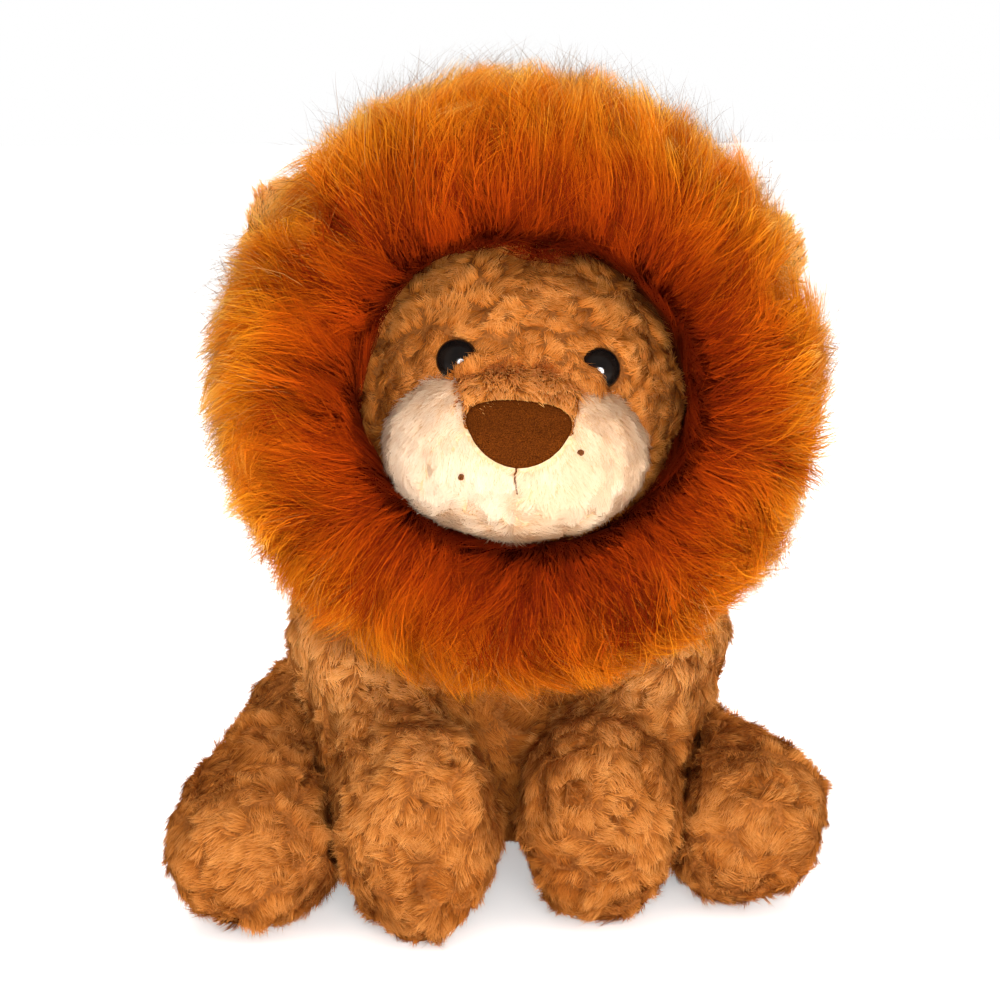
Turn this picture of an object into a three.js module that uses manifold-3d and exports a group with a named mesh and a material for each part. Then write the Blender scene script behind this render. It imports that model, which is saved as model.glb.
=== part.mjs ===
// A seated plush lion: stuffed torso, ball head, long-pile mane, four sewn legs and a tail.
// Millimetres. +Z is up, the lion faces -Y and stands on Z = 0, with +X to the viewer's right.
// The origin is the middle of the flat patch that it sits on.
import * as THREE from 'three';
import { mergeVertices } from 'three/addons/utils/BufferGeometryUtils.js';
import Module from 'manifold-3d';

const wasm = await Module();
wasm.setup();

// Driving dimensions: cloth, seams and clearances
const clothThickness = 3;
const seamGap = 0.35;
const fillingGap = 2.6;
const standCut = 0.5;
const weldDistance = 0.0001;
const cutOverrun = 20;

// Driving dimensions: torso
const torsoWidth = 150;
const torsoDepth = 122;
const torsoHeight = 144;

// Driving dimensions: head and muzzle
const headRadius = 60;
const headCentreHeight = 176;
const headForward = 15;
const headAside = 5.5;
const neckHoleRadius = 24;
const neckClearance = 2.3;
const muzzleWidth = 86;
const muzzleHeight = 56;
const muzzleLength = 36;
const muzzleForward = 49;
const muzzleDrop = 14;
const bridgeTopWidth = 44;
const bridgeNoseWidth = 34;
const noseWidth = 35.5;
const noseHeight = 21;
const noseThickness = 4;
const noseDrop = 5;

// Driving dimensions: safety eyes
const eyeDiameter = 14;
const eyeDomeHeight = 5.5;
const eyeSpacing = 46.5;
const eyeAside = 2.4;
const eyeRise = 15;
const eyeRimThickness = 1;
const eyeShankDiameter = 4.4;
const eyeShankTail = 3.5;
const washerDiameter = 13;
const washerThickness = 1.6;
const washerGap = 1.6;

// Driving dimensions: mane and ears
const maneRadius = 104;
const maneRise = 10;
const maneAside = -1.8;
const maneRootRadius = 50;
const maneDepth = 68;
const maneForward = 35;
const maneBottomForward = 13;
const maneTopBack = 7;
const backingThickness = 1.6;
const backingWidth = 30;
const backingForward = 19;
const earLength = 56;
const earWidth = 42;
const earThickness = 13;
const earSetBack = 9;
const earSink = 4;

// Driving dimensions: front legs
const shoulderSpread = 104;
const shoulderHeight = 118;
const frontPawSpread = 62.4;
const frontPawWidth = 62;
const frontPawHeight = 83;
const frontPawReach = 94;

// Driving dimensions: hind legs
const hipSpread = 104;
const hipHeight = 68;
const hipSetBack = 50;
const hindPawSpread = 176;
const hindPawWidth = 68;
const hindPawHeight = 64;
const hindPawReach = 82;

// Sewn by hand, the two sides differ a little: the left paws reach further forward
const leftPawAdvance = 5;
const rightPawAdvance = -7;
const rightShoulderOut = 5;
const rightHindPawIn = 3.5;

// Driving dimensions: tail
const tailThickness = 15;
const tailLength = 74;
const tailSetBack = 84;
const tuftLength = 42;
const tuftThickness = 26;

// How far the sewn joints give that other pieces are cut to make room for, in degrees
const neckTurn = 10;
const frontLegLift = 10;
const hindLegSplay = 15;

// How the head is set on the neck, in degrees
const headYaw = -3.5;
const headTilt = 5;
const headRoll = 3.8;

const deg = THREE.MathUtils.degToRad;
const up = new THREE.Vector3(0, 0, 1);
const sideways = new THREE.Vector3(1, 0, 0);

// Colours and surfaces, from the photograph
const finishes = {
  caramel: { color: 0xc88241, roughness: 0.95, metalness: 0 },
  cream: { color: 0xf3e2bf, roughness: 0.95, metalness: 0 },
  mane: { color: 0xb8500c, roughness: 0.8, metalness: 0 },
  suede: { color: 0x5f3116, roughness: 0.9, metalness: 0 },
  eye: { color: 0x0b0908, roughness: 0.08, metalness: 0 },
  washer: { color: 0xe6e6e2, roughness: 0.5, metalness: 0 },
  filling: { color: 0xf7f5f0, roughness: 1, metalness: 0 },
  backing: { color: 0x6b2a08, roughness: 0.95, metalness: 0 },
};

// Solids: join and cut by the library, everything else by three.js

function solidOf(geometry) {
  const bare = geometry.clone();
  bare.deleteAttribute('normal');
  bare.deleteAttribute('uv');
  const merged = mergeVertices(bare, weldDistance);
  const vertProperties = new Float32Array(merged.attributes.position.array);
  const triVerts = new Uint32Array(merged.index.array);
  return new wasm.Manifold(new wasm.Mesh({ numProp: 3, vertProperties, triVerts }));
}

function geometryOf(solid) {
  const mesh = solid.getMesh();
  const geometry = new THREE.BufferGeometry();
  geometry.setAttribute('position', new THREE.BufferAttribute(new Float32Array(mesh.vertProperties), 3));
  geometry.setIndex(new THREE.BufferAttribute(new Uint32Array(mesh.triVerts), 1));
  geometry.computeVertexNormals();
  return geometry;
}

function cut(geometry, ...tools) {
  let solid = solidOf(geometry);
  for (const tool of tools.flat()) {
    solid = solid.subtract(solidOf(tool));
  }
  return geometryOf(solid);
}

function overlapOf(geometry, other) {
  return geometryOf(solidOf(geometry).intersect(solidOf(other)));
}

// The same surface moved along its normals: out when distance is positive, in when it is negative
function offsetForm(geometry, distance) {
  const bare = geometry.clone();
  bare.deleteAttribute('normal');
  bare.deleteAttribute('uv');
  const moved = mergeVertices(bare, weldDistance);
  moved.computeVertexNormals();
  const place = moved.attributes.position;
  const normal = moved.attributes.normal;
  for (let i = 0; i < place.count; i += 1) {
    place.setXYZ(
      i,
      place.getX(i) + normal.getX(i) * distance,
      place.getY(i) + normal.getY(i) * distance,
      place.getZ(i) + normal.getZ(i) * distance,
    );
  }
  return moved;
}

function block(width, depth, height, x, y, z) {
  const geometry = new THREE.BoxGeometry(width, depth, height);
  geometry.translate(x, y, z);
  return geometry;
}

// Everything below a height, to press an underside flat
function groundBelow(height) {
  const span = 2 * (torsoWidth + torsoDepth + hindPawSpread);
  return block(span, span, torsoHeight, 0, 0, height - torsoHeight / 2);
}

// Rounds an oval out towards a soft square: 2 keeps it an ellipse
function full(value, fullness) {
  return Math.sign(value) * Math.abs(value) ** (2 / fullness);
}

// A stuffed form: oval sections along a spine that swell and taper, with rounded ends
function stuffedForm({ spine, halfWidths, halfDepths, bluntness, rings, sides, widthAxis = sideways, fullness = 2 }) {
  const path = new THREE.CatmullRomCurve3(spine, false, 'catmullrom', 0.5);
  const swellPoints = halfWidths.map((w, i) => new THREE.Vector3(w, halfDepths[i], 0));
  const swell = new THREE.CatmullRomCurve3(swellPoints, false, 'catmullrom', 0.5);
  const positions = [];
  const index = [];
  const start = path.getPoint(0);
  const end = path.getPoint(1);
  positions.push(start.x, start.y, start.z);
  for (let i = 1; i < rings; i += 1) {
    const u = (1 - Math.cos((Math.PI * i) / rings)) / 2;
    const round = (1 - Math.abs(2 * u - 1) ** bluntness) ** (1 / bluntness);
    const centre = path.getPoint(u);
    const along = path.getTangent(u);
    const half = swell.getPoint(u);
    const across = widthAxis.clone().addScaledVector(along, -along.dot(widthAxis)).normalize();
    const front = new THREE.Vector3().crossVectors(along, across);
    for (let j = 0; j < sides; j += 1) {
      const angle = (2 * Math.PI * j) / sides;
      const point = centre.clone();
      point.addScaledVector(across, half.x * round * full(Math.cos(angle), fullness));
      point.addScaledVector(front, half.y * round * full(Math.sin(angle), fullness));
      positions.push(point.x, point.y, point.z);
    }
  }
  positions.push(end.x, end.y, end.z);
  const last = positions.length / 3 - 1;
  for (let j = 0; j < sides; j += 1) {
    const next = (j + 1) % sides;
    index.push(0, 1 + next, 1 + j);
    for (let i = 0; i < rings - 2; i += 1) {
      const low = 1 + i * sides;
      const high = low + sides;
      index.push(low + j, low + next, high + next);
      index.push(low + j, high + next, high + j);
    }
    const top = 1 + (rings - 2) * sides;
    index.push(top + j, top + next, last);
  }
  const geometry = new THREE.BufferGeometry();
  geometry.setAttribute('position', new THREE.Float32BufferAttribute(positions, 3));
  geometry.setIndex(index);
  return geometry;
}

// Lowers or lifts a form until its lowest point is just under the floor, where it is pressed flat
function settled(geometry) {
  geometry.computeBoundingBox();
  geometry.translate(0, 0, -geometry.boundingBox.min.z - standCut);
  return geometry;
}

// A form's place after a hinge has turned it
function turnedAbout(geometry, pivot, axis, degrees) {
  const turned = geometry.clone();
  turned.translate(-pivot.x, -pivot.y, -pivot.z);
  turned.applyMatrix4(new THREE.Matrix4().makeRotationAxis(axis, deg(degrees)));
  turned.translate(pivot.x, pivot.y, pivot.z);
  return turned;
}

// A cloth cover around its filling: the cover is open where the keep-out forms cut it
function coverAndFilling(form, keepOut, plainForm, plainKeepOut) {
  const floor = groundBelow(0);
  const hollow = cut(offsetForm(form, -clothThickness), groundBelow(clothThickness));
  const core = offsetForm(plainForm, -clothThickness - fillingGap);
  return {
    cover: cut(form, floor, hollow, keepOut),
    filling: cut(core, groundBelow(clothThickness + fillingGap), plainKeepOut),
  };
}

const lion = new THREE.Group();

function addMesh(group, name, geometry, finish) {
  const mesh = new THREE.Mesh(geometry, new THREE.MeshStandardMaterial(finish));
  mesh.name = name;
  group.add(mesh);
  return mesh;
}

// Frames: the neck axis is vertical through the head's centre

const headCentre = new THREE.Vector3(headAside, -headForward, headCentreHeight);
const headGroup = new THREE.Group();
headGroup.position.copy(headCentre);
headGroup.rotation.set(deg(-headTilt), deg(headRoll), deg(headYaw), 'ZXY');
headGroup.updateMatrixWorld(true);
const intoHead = headGroup.matrixWorld.clone().invert();

// Torso: a pear that is widest at the seat, with a bowl at the top for the head

const torsoWidthShares = [0.92, 1, 0.95, 0.82, 0.68];
const torsoDepthShares = [0.8, 0.92, 1, 0.85, 0.72];
const torsoBackShares = [0.36, 0.32, 0.14, -0.01, -0.1];
const torsoHeightShares = [0, 0.25, 0.51, 0.74, 1];
const torsoBluntness = 2.6;

function torsoForm({ rings, sides }) {
  return settled(stuffedForm({
    spine: torsoBackShares.map((back, i) => (
      new THREE.Vector3(0, torsoDepth * back, torsoHeight * torsoHeightShares[i])
    )),
    halfWidths: torsoWidthShares.map((share) => (torsoWidth * share) / 2),
    halfDepths: torsoDepthShares.map((share) => (torsoDepth * share) / 2),
    bluntness: torsoBluntness,
    rings,
    sides,
  }));
}

function neckBowl() {
  const bowl = new THREE.SphereGeometry(headRadius + neckClearance, 22, 14);
  bowl.rotateX(Math.PI / 2);
  bowl.translate(headCentre.x, headCentre.y, headCentre.z);
  return bowl;
}

const coverDetail = { rings: 13, sides: 22 };
const limbDetail = { rings: 12, sides: 14 };
const fillingDetail = { rings: 8, sides: 10 };
const torso = torsoForm(coverDetail);
const plainTorso = torsoForm(fillingDetail);

function addTorso() {
  const bowls = [neckBowl()];
  const { cover, filling } = coverAndFilling(torso, bowls, plainTorso, bowls);
  addMesh(lion, 'body_cover', cover, finishes.caramel);
  addMesh(lion, 'body_filling', filling, finishes.filling);
}

// Front legs: thick legs that come down and in from the shoulders to heavy paws

const frontAcrossShares = [0, 0.04, 0.25, 0.66, 0.96, 1];
const frontReachShares = [0.02, 0.08, 0.2, 0.39, 0.63, 1];
const frontHeightShares = [1, 0.81, 0.61, 0.42, 0.31, 0.28];
const frontWidthShares = [0.83, 0.9, 0.85, 0.84, 1.03, 1.1];
const frontDepthShares = [0.71, 0.74, 0.74, 0.79, 1, 1.05];
const frontBluntness = 3.5;

function frontLegForm({ side, advance, shoulderOut }, { rings, sides }) {
  const shoulder = shoulderSpread / 2 + shoulderOut;
  const paw = frontPawSpread / 2;
  return settled(stuffedForm({
    spine: frontAcrossShares.map((across, i) => new THREE.Vector3(
      side * THREE.MathUtils.lerp(shoulder, paw, across),
      -(frontPawReach + advance) * frontReachShares[i],
      shoulderHeight * frontHeightShares[i],
    )),
    halfWidths: frontWidthShares.map((share) => (frontPawWidth * share) / 2),
    halfDepths: frontDepthShares.map((share) => (frontPawHeight * share) / 2),
    bluntness: frontBluntness,
    rings,
    sides,
  }));
}

const shoulderPivotShare = 0.86;

function shoulderPivot(side) {
  return new THREE.Vector3((side * shoulderSpread) / 2, 0, shoulderHeight * shoulderPivotShare);
}

// Hind legs: a haunch on each side that runs forward along the ground to a round paw

const hindAcrossShares = [0, 0.12, 0.42, 0.78, 0.95, 1];
const hindReachShares = [0, 0.08, 0.26, 0.47, 0.7, 1];
const hindHeightShares = [1, 0.78, 0.59, 0.48, 0.43, 0.41];
const hindWidthShares = [0.78, 0.92, 0.88, 0.84, 1.01, 1.08];
const hindDepthShares = [0.84, 1, 1, 0.9, 1.02, 1.07];
const hindBluntness = 3.5;

function hindLegForm({ side, advance, hindPawIn }, { rings, sides }) {
  const hip = hipSpread / 2;
  const paw = hindPawSpread / 2 - hindPawIn;
  return settled(stuffedForm({
    spine: hindAcrossShares.map((across, i) => new THREE.Vector3(
      side * THREE.MathUtils.lerp(hip, paw, across),
      THREE.MathUtils.lerp(hipSetBack, -hindPawReach - advance, hindReachShares[i]),
      hipHeight * hindHeightShares[i],
    )),
    halfWidths: hindWidthShares.map((share) => (hindPawWidth * share) / 2),
    halfDepths: hindDepthShares.map((share) => (hindPawHeight * share) / 2),
    bluntness: hindBluntness,
    rings,
    sides,
  }));
}

function hipPivot(side) {
  return new THREE.Vector3((side * hipSpread) / 2, hipSetBack, hipHeight / 2);
}

const legSides = [
  { sideName: 'left', side: -1, advance: leftPawAdvance, shoulderOut: 0, hindPawIn: 0 },
  {
    sideName: 'right',
    side: 1,
    advance: rightPawAdvance,
    shoulderOut: rightShoulderOut,
    hindPawIn: rightHindPawIn,
  },
];
const stepShares = [0, 0.25, 0.5, 0.75, 1];
const liftSteps = stepShares.map((share) => share * frontLegLift);
const splaySteps = [0, hindLegSplay / 2, hindLegSplay];

// The torso in every place that it takes beside a leg as the leg's seam gives
function besideFrontLeg(body, side) {
  return liftSteps.map((angle) => turnedAbout(body, shoulderPivot(side), sideways, angle));
}

function besideHindLeg(body, frontLeg, side) {
  const bodies = splaySteps.map((angle) => turnedAbout(body, hipPivot(side), up, -side * angle));
  const legs = liftSteps.map((angle) => turnedAbout(frontLeg, shoulderPivot(side), sideways, -angle));
  return [...bodies, ...legs];
}

function addLegs() {
  const body = offsetForm(torso, seamGap);
  const plainBody = offsetForm(torso, 2 * seamGap);
  for (const leg of legSides) {
    const frontForm = frontLegForm(leg, limbDetail);
    const front = coverAndFilling(
      frontForm,
      besideFrontLeg(body, leg.side),
      frontLegForm(leg, fillingDetail),
      besideFrontLeg(plainBody, leg.side),
    );
    const hind = coverAndFilling(
      hindLegForm(leg, limbDetail),
      besideHindLeg(body, offsetForm(frontForm, 2 * seamGap), leg.side),
      hindLegForm(leg, fillingDetail),
      besideHindLeg(plainBody, offsetForm(frontForm, 3 * seamGap), leg.side),
    );
    addMesh(lion, `front_leg_${leg.sideName}_cover`, front.cover, finishes.caramel);
    addMesh(lion, `front_leg_${leg.sideName}_filling`, front.filling, finishes.filling);
    addMesh(lion, `hind_leg_${leg.sideName}_cover`, hind.cover, finishes.caramel);
    addMesh(lion, `hind_leg_${leg.sideName}_filling`, hind.filling, finishes.filling);
  }
}

// Head: a ball that is a little narrower at the crown, in its own frame about its centre

const headWidthShares = [0.99, 1, 1, 0.98, 0.94];
const headDepthShares = [0.99, 0.99, 0.98, 0.97, 0.95];
const headFullness = 2.25;

function headForm({ rings, sides }) {
  return stuffedForm({
    spine: headWidthShares.map((_, i) => (
      new THREE.Vector3(0, 0, THREE.MathUtils.lerp(-headRadius, headRadius, i / (headWidthShares.length - 1)))
    )),
    halfWidths: headWidthShares.map((share) => headRadius * share),
    halfDepths: headDepthShares.map((share) => headRadius * share),
    bluntness: 2,
    rings,
    sides,
    fullness: headFullness,
  });
}

const head = headForm({ rings: 13, sides: 24 });

// Places a piece that is built about its own axis, +Z out, at an eye's seat on the head
function eyeSeat(side) {
  const seat = new THREE.Vector3(eyeAside + (side * eyeSpacing) / 2, 0, eyeRise);
  const level = Math.sqrt(headRadius ** 2 - seat.z ** 2);
  const reach = (level ** headFullness - Math.abs(seat.x) ** headFullness) ** (1 / headFullness);
  const outward = new THREE.Vector3(
    side * Math.abs(seat.x) ** (headFullness - 1),
    -(reach ** (headFullness - 1)),
    seat.z * level ** (headFullness - 2),
  ).normalize();
  seat.y = -reach * headDepthShares[2];
  const turn = new THREE.Quaternion().setFromUnitVectors(up, outward);
  return new THREE.Matrix4().compose(seat, turn, new THREE.Vector3(1, 1, 1));
}

// Turns a profile of [radius, height] points about +Z
function turned(profile, segments) {
  const geometry = new THREE.LatheGeometry(profile.map(([r, z]) => new THREE.Vector2(r, z)), segments);
  geometry.rotateX(Math.PI / 2);
  return geometry;
}

function rod(radius, low, high, segments) {
  return turned([[0, low], [radius, low], [radius, high], [0, high]], segments);
}

const shankDepth = clothThickness + washerGap + washerThickness + eyeShankTail;

function eyeGeometry() {
  const dome = [];
  const steps = 5;
  for (let i = 0; i <= steps; i += 1) {
    const angle = (Math.PI / 2) * (i / steps);
    const radius = i === steps ? 0 : (eyeDiameter / 2) * Math.cos(angle);
    dome.push([radius, seamGap + eyeRimThickness + eyeDomeHeight * Math.sin(angle)]);
  }
  return turned([
    [0, -shankDepth],
    [eyeShankDiameter / 2, -shankDepth],
    [eyeShankDiameter / 2, seamGap],
    [eyeDiameter / 2, seamGap],
    ...dome,
  ], 14);
}

function washerGeometry() {
  const low = -clothThickness - washerGap - washerThickness;
  const inner = eyeShankDiameter / 2 + seamGap;
  return turned([
    [inner, low],
    [washerDiameter / 2, low],
    [washerDiameter / 2, low + washerThickness],
    [inner, low + washerThickness],
    [inner, low],
  ], 16);
}

function eyePocket(side) {
  const pocket = new THREE.SphereGeometry(eyeDiameter / 2 + seamGap, 20, 12);
  pocket.translate(0, 0, seamGap);
  pocket.applyMatrix4(eyeSeat(side));
  return pocket;
}

function addHead() {
  const hollow = offsetForm(head, -clothThickness);
  const stuffing = offsetForm(headForm({ rings: 9, sides: 14 }), -clothThickness - fillingGap);
  const neckHole = rod(neckHoleRadius, -headRadius - cutOverrun, -headRadius / 2, 24);
  const shankHoles = [];
  const washerRooms = [];
  for (const side of [-1, 1]) {
    const hole = rod(eyeShankDiameter / 2 + seamGap, -shankDepth - seamGap, cutOverrun, 12);
    shankHoles.push(hole.applyMatrix4(eyeSeat(side)));
    const room = rod(washerDiameter / 2 + seamGap, -shankDepth - seamGap, cutOverrun, 16);
    washerRooms.push(room.applyMatrix4(eyeSeat(side)));
  }
  addMesh(headGroup, 'head_cover', cut(head, hollow, neckHole, shankHoles), finishes.caramel);
  addMesh(headGroup, 'head_filling', cut(stuffing, washerRooms), finishes.filling);
  for (const [sideName, side] of [['left', -1], ['right', 1]]) {
    addMesh(headGroup, `eye_${sideName}`, eyeGeometry().applyMatrix4(eyeSeat(side)), finishes.eye);
    addMesh(headGroup, `eye_washer_${sideName}`, washerGeometry().applyMatrix4(eyeSeat(side)), finishes.washer);
  }
}

// Muzzle: one filling under three cloth panels, two cream cheeks and a caramel bridge between them

function muzzleForm(around, along) {
  const form = new THREE.SphereGeometry(1, around, along);
  form.rotateX(Math.PI / 2);
  form.scale(muzzleWidth / 2, muzzleLength, muzzleHeight / 2);
  form.translate(0, -muzzleForward, -muzzleDrop);
  return form;
}

const muzzle = muzzleForm(20, 12);

// An outline in width and height, swept through the whole muzzle from front to back
function throughMuzzle(shape) {
  const length = headRadius * 2 + cutOverrun;
  const prism = new THREE.ExtrudeGeometry(shape, { depth: length, bevelEnabled: false, curveSegments: 5 });
  prism.rotateX(Math.PI / 2);
  return prism;
}

function bridgeShape(growth) {
  const top = -muzzleDrop + muzzleHeight / 2 + cutOverrun;
  const low = -noseDrop;
  const shape = new THREE.Shape();
  shape.moveTo(-bridgeNoseWidth / 2 - growth, low - growth);
  shape.lineTo(bridgeNoseWidth / 2 + growth, low - growth);
  shape.lineTo(bridgeTopWidth / 2 + growth, top);
  shape.lineTo(-bridgeTopWidth / 2 - growth, top);
  shape.closePath();
  return shape;
}

function addMuzzle() {
  const behind = offsetForm(head, seamGap);
  const pockets = [eyePocket(-1), eyePocket(1)];
  const shell = cut(muzzle, offsetForm(muzzle, -clothThickness), behind, pockets);
  const core = cut(offsetForm(muzzleForm(14, 8), -clothThickness - fillingGap), behind, pockets);
  const bridge = overlapOf(shell, throughMuzzle(bridgeShape(0)));
  const cheeks = cut(shell, throughMuzzle(bridgeShape(seamGap)));
  const half = (side) => block(
    muzzleWidth,
    4 * headRadius,
    4 * headRadius,
    side * (muzzleWidth / 2 + seamGap / 2),
    0,
    0,
  );
  addMesh(headGroup, 'muzzle_bridge', bridge, finishes.caramel);
  addMesh(headGroup, 'muzzle_cheek_left', overlapOf(cheeks, half(-1)), finishes.cream);
  addMesh(headGroup, 'muzzle_cheek_right', overlapOf(cheeks, half(1)), finishes.cream);
  addMesh(headGroup, 'muzzle_filling', core, finishes.filling);
}

// Nose: a padded suede triangle with round corners, curved to the front of the muzzle

const noseTopShare = 0.46;
const noseShoulderShare = 0.3;
const noseChinShare = 0.22;

function noseShape() {
  const w = noseWidth / 2;
  const h = noseHeight / 2;
  const shape = new THREE.Shape();
  shape.moveTo(-w * noseTopShare, h * (1 - noseChinShare / 2));
  shape.quadraticCurveTo(0, h, w * noseTopShare, h * (1 - noseChinShare / 2));
  shape.bezierCurveTo(w, h * (1 - noseChinShare), w, h * noseShoulderShare, w * (1 - noseChinShare / 2), 0);
  shape.bezierCurveTo(w * (1 - noseShoulderShare), -h * (1 - noseShoulderShare), w * noseShoulderShare, -h, 0, -h);
  shape.bezierCurveTo(-w * noseShoulderShare, -h, -w * (1 - noseShoulderShare), -h * (1 - noseShoulderShare),
    -w * (1 - noseChinShare / 2), 0);
  shape.bezierCurveTo(-w, h * noseShoulderShare, -w, h * (1 - noseChinShare), -w * noseTopShare,
    h * (1 - noseChinShare / 2));
  return shape;
}

function addNose() {
  const prism = throughMuzzle(noseShape());
  prism.translate(0, -muzzleForward, -noseDrop);
  const pad = overlapOf(prism, offsetForm(muzzle, noseThickness));
  addMesh(headGroup, 'nose', cut(pad, offsetForm(muzzle, seamGap)), finishes.suede);
}

// Mane: a ring of long pile around the face, with a cloth band under its roots

// Points of the pile's section: [distance out, distance forward] as shares of its length and depth
const maneSectionShares = [
  [0, 0.02],
  [0, 0.24],
  [0.09, 0.42],
  [0.28, 0.5],
  [0.52, 0.45],
  [0.76, 0.31],
  [0.93, 0.15],
  [1, 0],
  [0.94, -0.16],
  [0.72, -0.32],
  [0.44, -0.46],
  [0.16, -0.5],
  [0, -0.3],
];
const maneWaveShare = 0.012;
const maneWaves = 9;
const maneSteps = 36;
const bandEndShare = 0.6;

function maneRing() {
  const positions = [];
  const index = [];
  const count = maneSectionShares.length;
  for (let i = 0; i < maneSteps; i += 1) {
    const angle = (2 * Math.PI * i) / maneSteps;
    const wave = 1 + maneWaveShare * Math.sin(maneWaves * angle);
    const lower = (1 - Math.cos(angle)) / 2;
    const lean = THREE.MathUtils.lerp(-maneTopBack, maneBottomForward, lower);
    for (const [outShare, forwardShare] of maneSectionShares) {
      const reach = THREE.MathUtils.lerp(maneRootRadius, maneRadius * wave, outShare);
      const forward = maneForward + maneDepth * forwardShare + lean * outShare;
      positions.push(
        reach * Math.sin(angle) + maneAside * outShare,
        -forward,
        reach * Math.cos(angle) + maneRise * outShare,
      );
    }
  }
  for (let i = 0; i < maneSteps; i += 1) {
    const here = i * count;
    const there = ((i + 1) % maneSteps) * count;
    for (let j = 0; j < count; j += 1) {
      const next = (j + 1) % count;
      index.push(here + j, there + j, there + next);
      index.push(here + j, there + next, here + next);
    }
  }
  const geometry = new THREE.BufferGeometry();
  geometry.setAttribute('position', new THREE.Float32BufferAttribute(positions, 3));
  geometry.setIndex(index);
  return geometry;
}

// Torso and shoulders in every place they take beside the mane as the head turns, in the head's frame
function besideMane() {
  const turns = [-neckTurn, 0, neckTurn];
  const shapes = [offsetForm(torso, 2 * seamGap)];
  for (const leg of legSides) {
    const form = offsetForm(frontLegForm(leg, limbDetail), 2 * seamGap);
    shapes.push(form);
    shapes.push(turnedAbout(form, shoulderPivot(leg.side), sideways, -frontLegLift));
  }
  return turns.flatMap((angle) => shapes.map((shape) => (
    turnedAbout(shape, headCentre, up, angle).applyMatrix4(intoHead)
  )));
}

function addMane() {
  const bandLow = offsetForm(head, seamGap);
  const bandHigh = offsetForm(head, seamGap + backingThickness);
  const slab = block(4 * headRadius, backingWidth, 4 * headRadius, 0, -backingForward, 0);
  const neckRoom = block(4 * headRadius, 4 * headRadius, headRadius, 0, 0, -headRadius * (bandEndShare + 0.5));
  const band = cut(overlapOf(bandHigh, slab), bandLow, neckRoom);
  addMesh(headGroup, 'mane_backing', band, finishes.backing);
  const pile = cut(maneRing(), offsetForm(head, 2 * seamGap + backingThickness), offsetForm(muzzle, seamGap));
  addMesh(headGroup, 'mane_fur', cut(pile, besideMane()), finishes.mane);
}

// Ears: flat rounded pads on the sides of the head, behind the mane, with tips that reach its rim

const earAngle = 57;
const earWidthShares = [0.78, 0.95, 1.02, 1, 0.86];
const earDepthShares = [1, 1, 0.95, 0.88, 0.75];
const earCurlShares = [0, 0.1, 0.16, 0.12, 0];
const earBluntness = 2.4;

function earForm() {
  return stuffedForm({
    spine: earCurlShares.map((curl, i) => new THREE.Vector3(
      0,
      earSetBack + earLength * curl,
      headRadius - earSink + (earLength * i) / (earCurlShares.length - 1),
    )),
    halfWidths: earWidthShares.map((share) => (earWidth * share) / 2),
    halfDepths: earDepthShares.map((share) => (earThickness * share) / 2),
    bluntness: earBluntness,
    rings: 9,
    sides: 14,
  });
}

function addEars() {
  for (const [sideName, side] of [['left', -1], ['right', 1]]) {
    const ear = earForm().rotateY(deg(side * earAngle));
    const clear = [offsetForm(head, seamGap), offsetForm(maneRing(), seamGap)];
    addMesh(headGroup, `ear_${sideName}`, cut(ear, clear), finishes.caramel);
  }
}

// Tail: a soft roll of plush that lies around behind the body, with a tuft of mane pile at its end

const tailAcrossShares = [0.04, 0.2, 0.5, 0.8, 1];
const tailBackShares = [0, 0.2, 0.26, 0.2, 0.08];
const tailRiseShares = [0.9, 0.3, 0, 0, 0.1];
const tailSwellShares = [1.2, 1.05, 1, 1, 0.95];
const tuftAcrossShares = [0, 0.3, 0.6, 0.85, 1];
const tuftBackShares = [0, 0.08, 0.04, -0.12, -0.3];
const tuftSwellShares = [0.62, 0.92, 1, 0.85, 0.5];
const tailBluntness = 4;
const tuftBluntness = 2.4;

function tailRoll(spine, swellShares, thickness, bluntness, rings) {
  const halfSizes = swellShares.map((share) => (thickness * share) / 2);
  return settled(stuffedForm({
    spine,
    halfWidths: halfSizes,
    halfDepths: halfSizes,
    bluntness,
    rings,
    sides: 12,
    widthAxis: up,
  }));
}

function addTail() {
  const tailSpine = tailAcrossShares.map((across, i) => new THREE.Vector3(
    tailLength * across,
    tailSetBack + tailLength * tailBackShares[i],
    tailThickness * tailRiseShares[i],
  ));
  const tail = tailRoll(tailSpine, tailSwellShares, tailThickness, tailBluntness, 14);
  const tailEnd = tailSpine[tailSpine.length - 1];
  const tuftSpine = tuftAcrossShares.map((across, i) => new THREE.Vector3(
    tailEnd.x + tuftLength * across - tailThickness / 2,
    tailEnd.y + tuftLength * tuftBackShares[i],
    tailEnd.z,
  ));
  const tuft = tailRoll(tuftSpine, tuftSwellShares, tuftThickness, tuftBluntness, 10);
  const floor = groundBelow(0);
  const grownTorso = offsetForm(torso, seamGap);
  addMesh(lion, 'tail', cut(tail, floor, grownTorso), finishes.caramel);
  addMesh(lion, 'tail_tuft', cut(tuft, floor, offsetForm(tail, seamGap)), finishes.mane);
}

addTorso();
addLegs();
addHead();
addMuzzle();
addNose();
addMane();
addEars();
addTail();
lion.add(headGroup);
lion.position.set(0, -torsoDepth * torsoBackShares[0], 0);

export default lion;
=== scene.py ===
"""A seated plush lion: soft caramel pile on the body, cream cheeks and a long-pile mane round the face.

Metres. +Z is up, the lion faces -Y, +X is to the viewer's right.
"""
import math

import bmesh
import bpy
import numpy as np
from mathutils import Matrix, Vector
from mathutils.bvhtree import BVHTree
from mathutils.kdtree import KDTree


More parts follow.
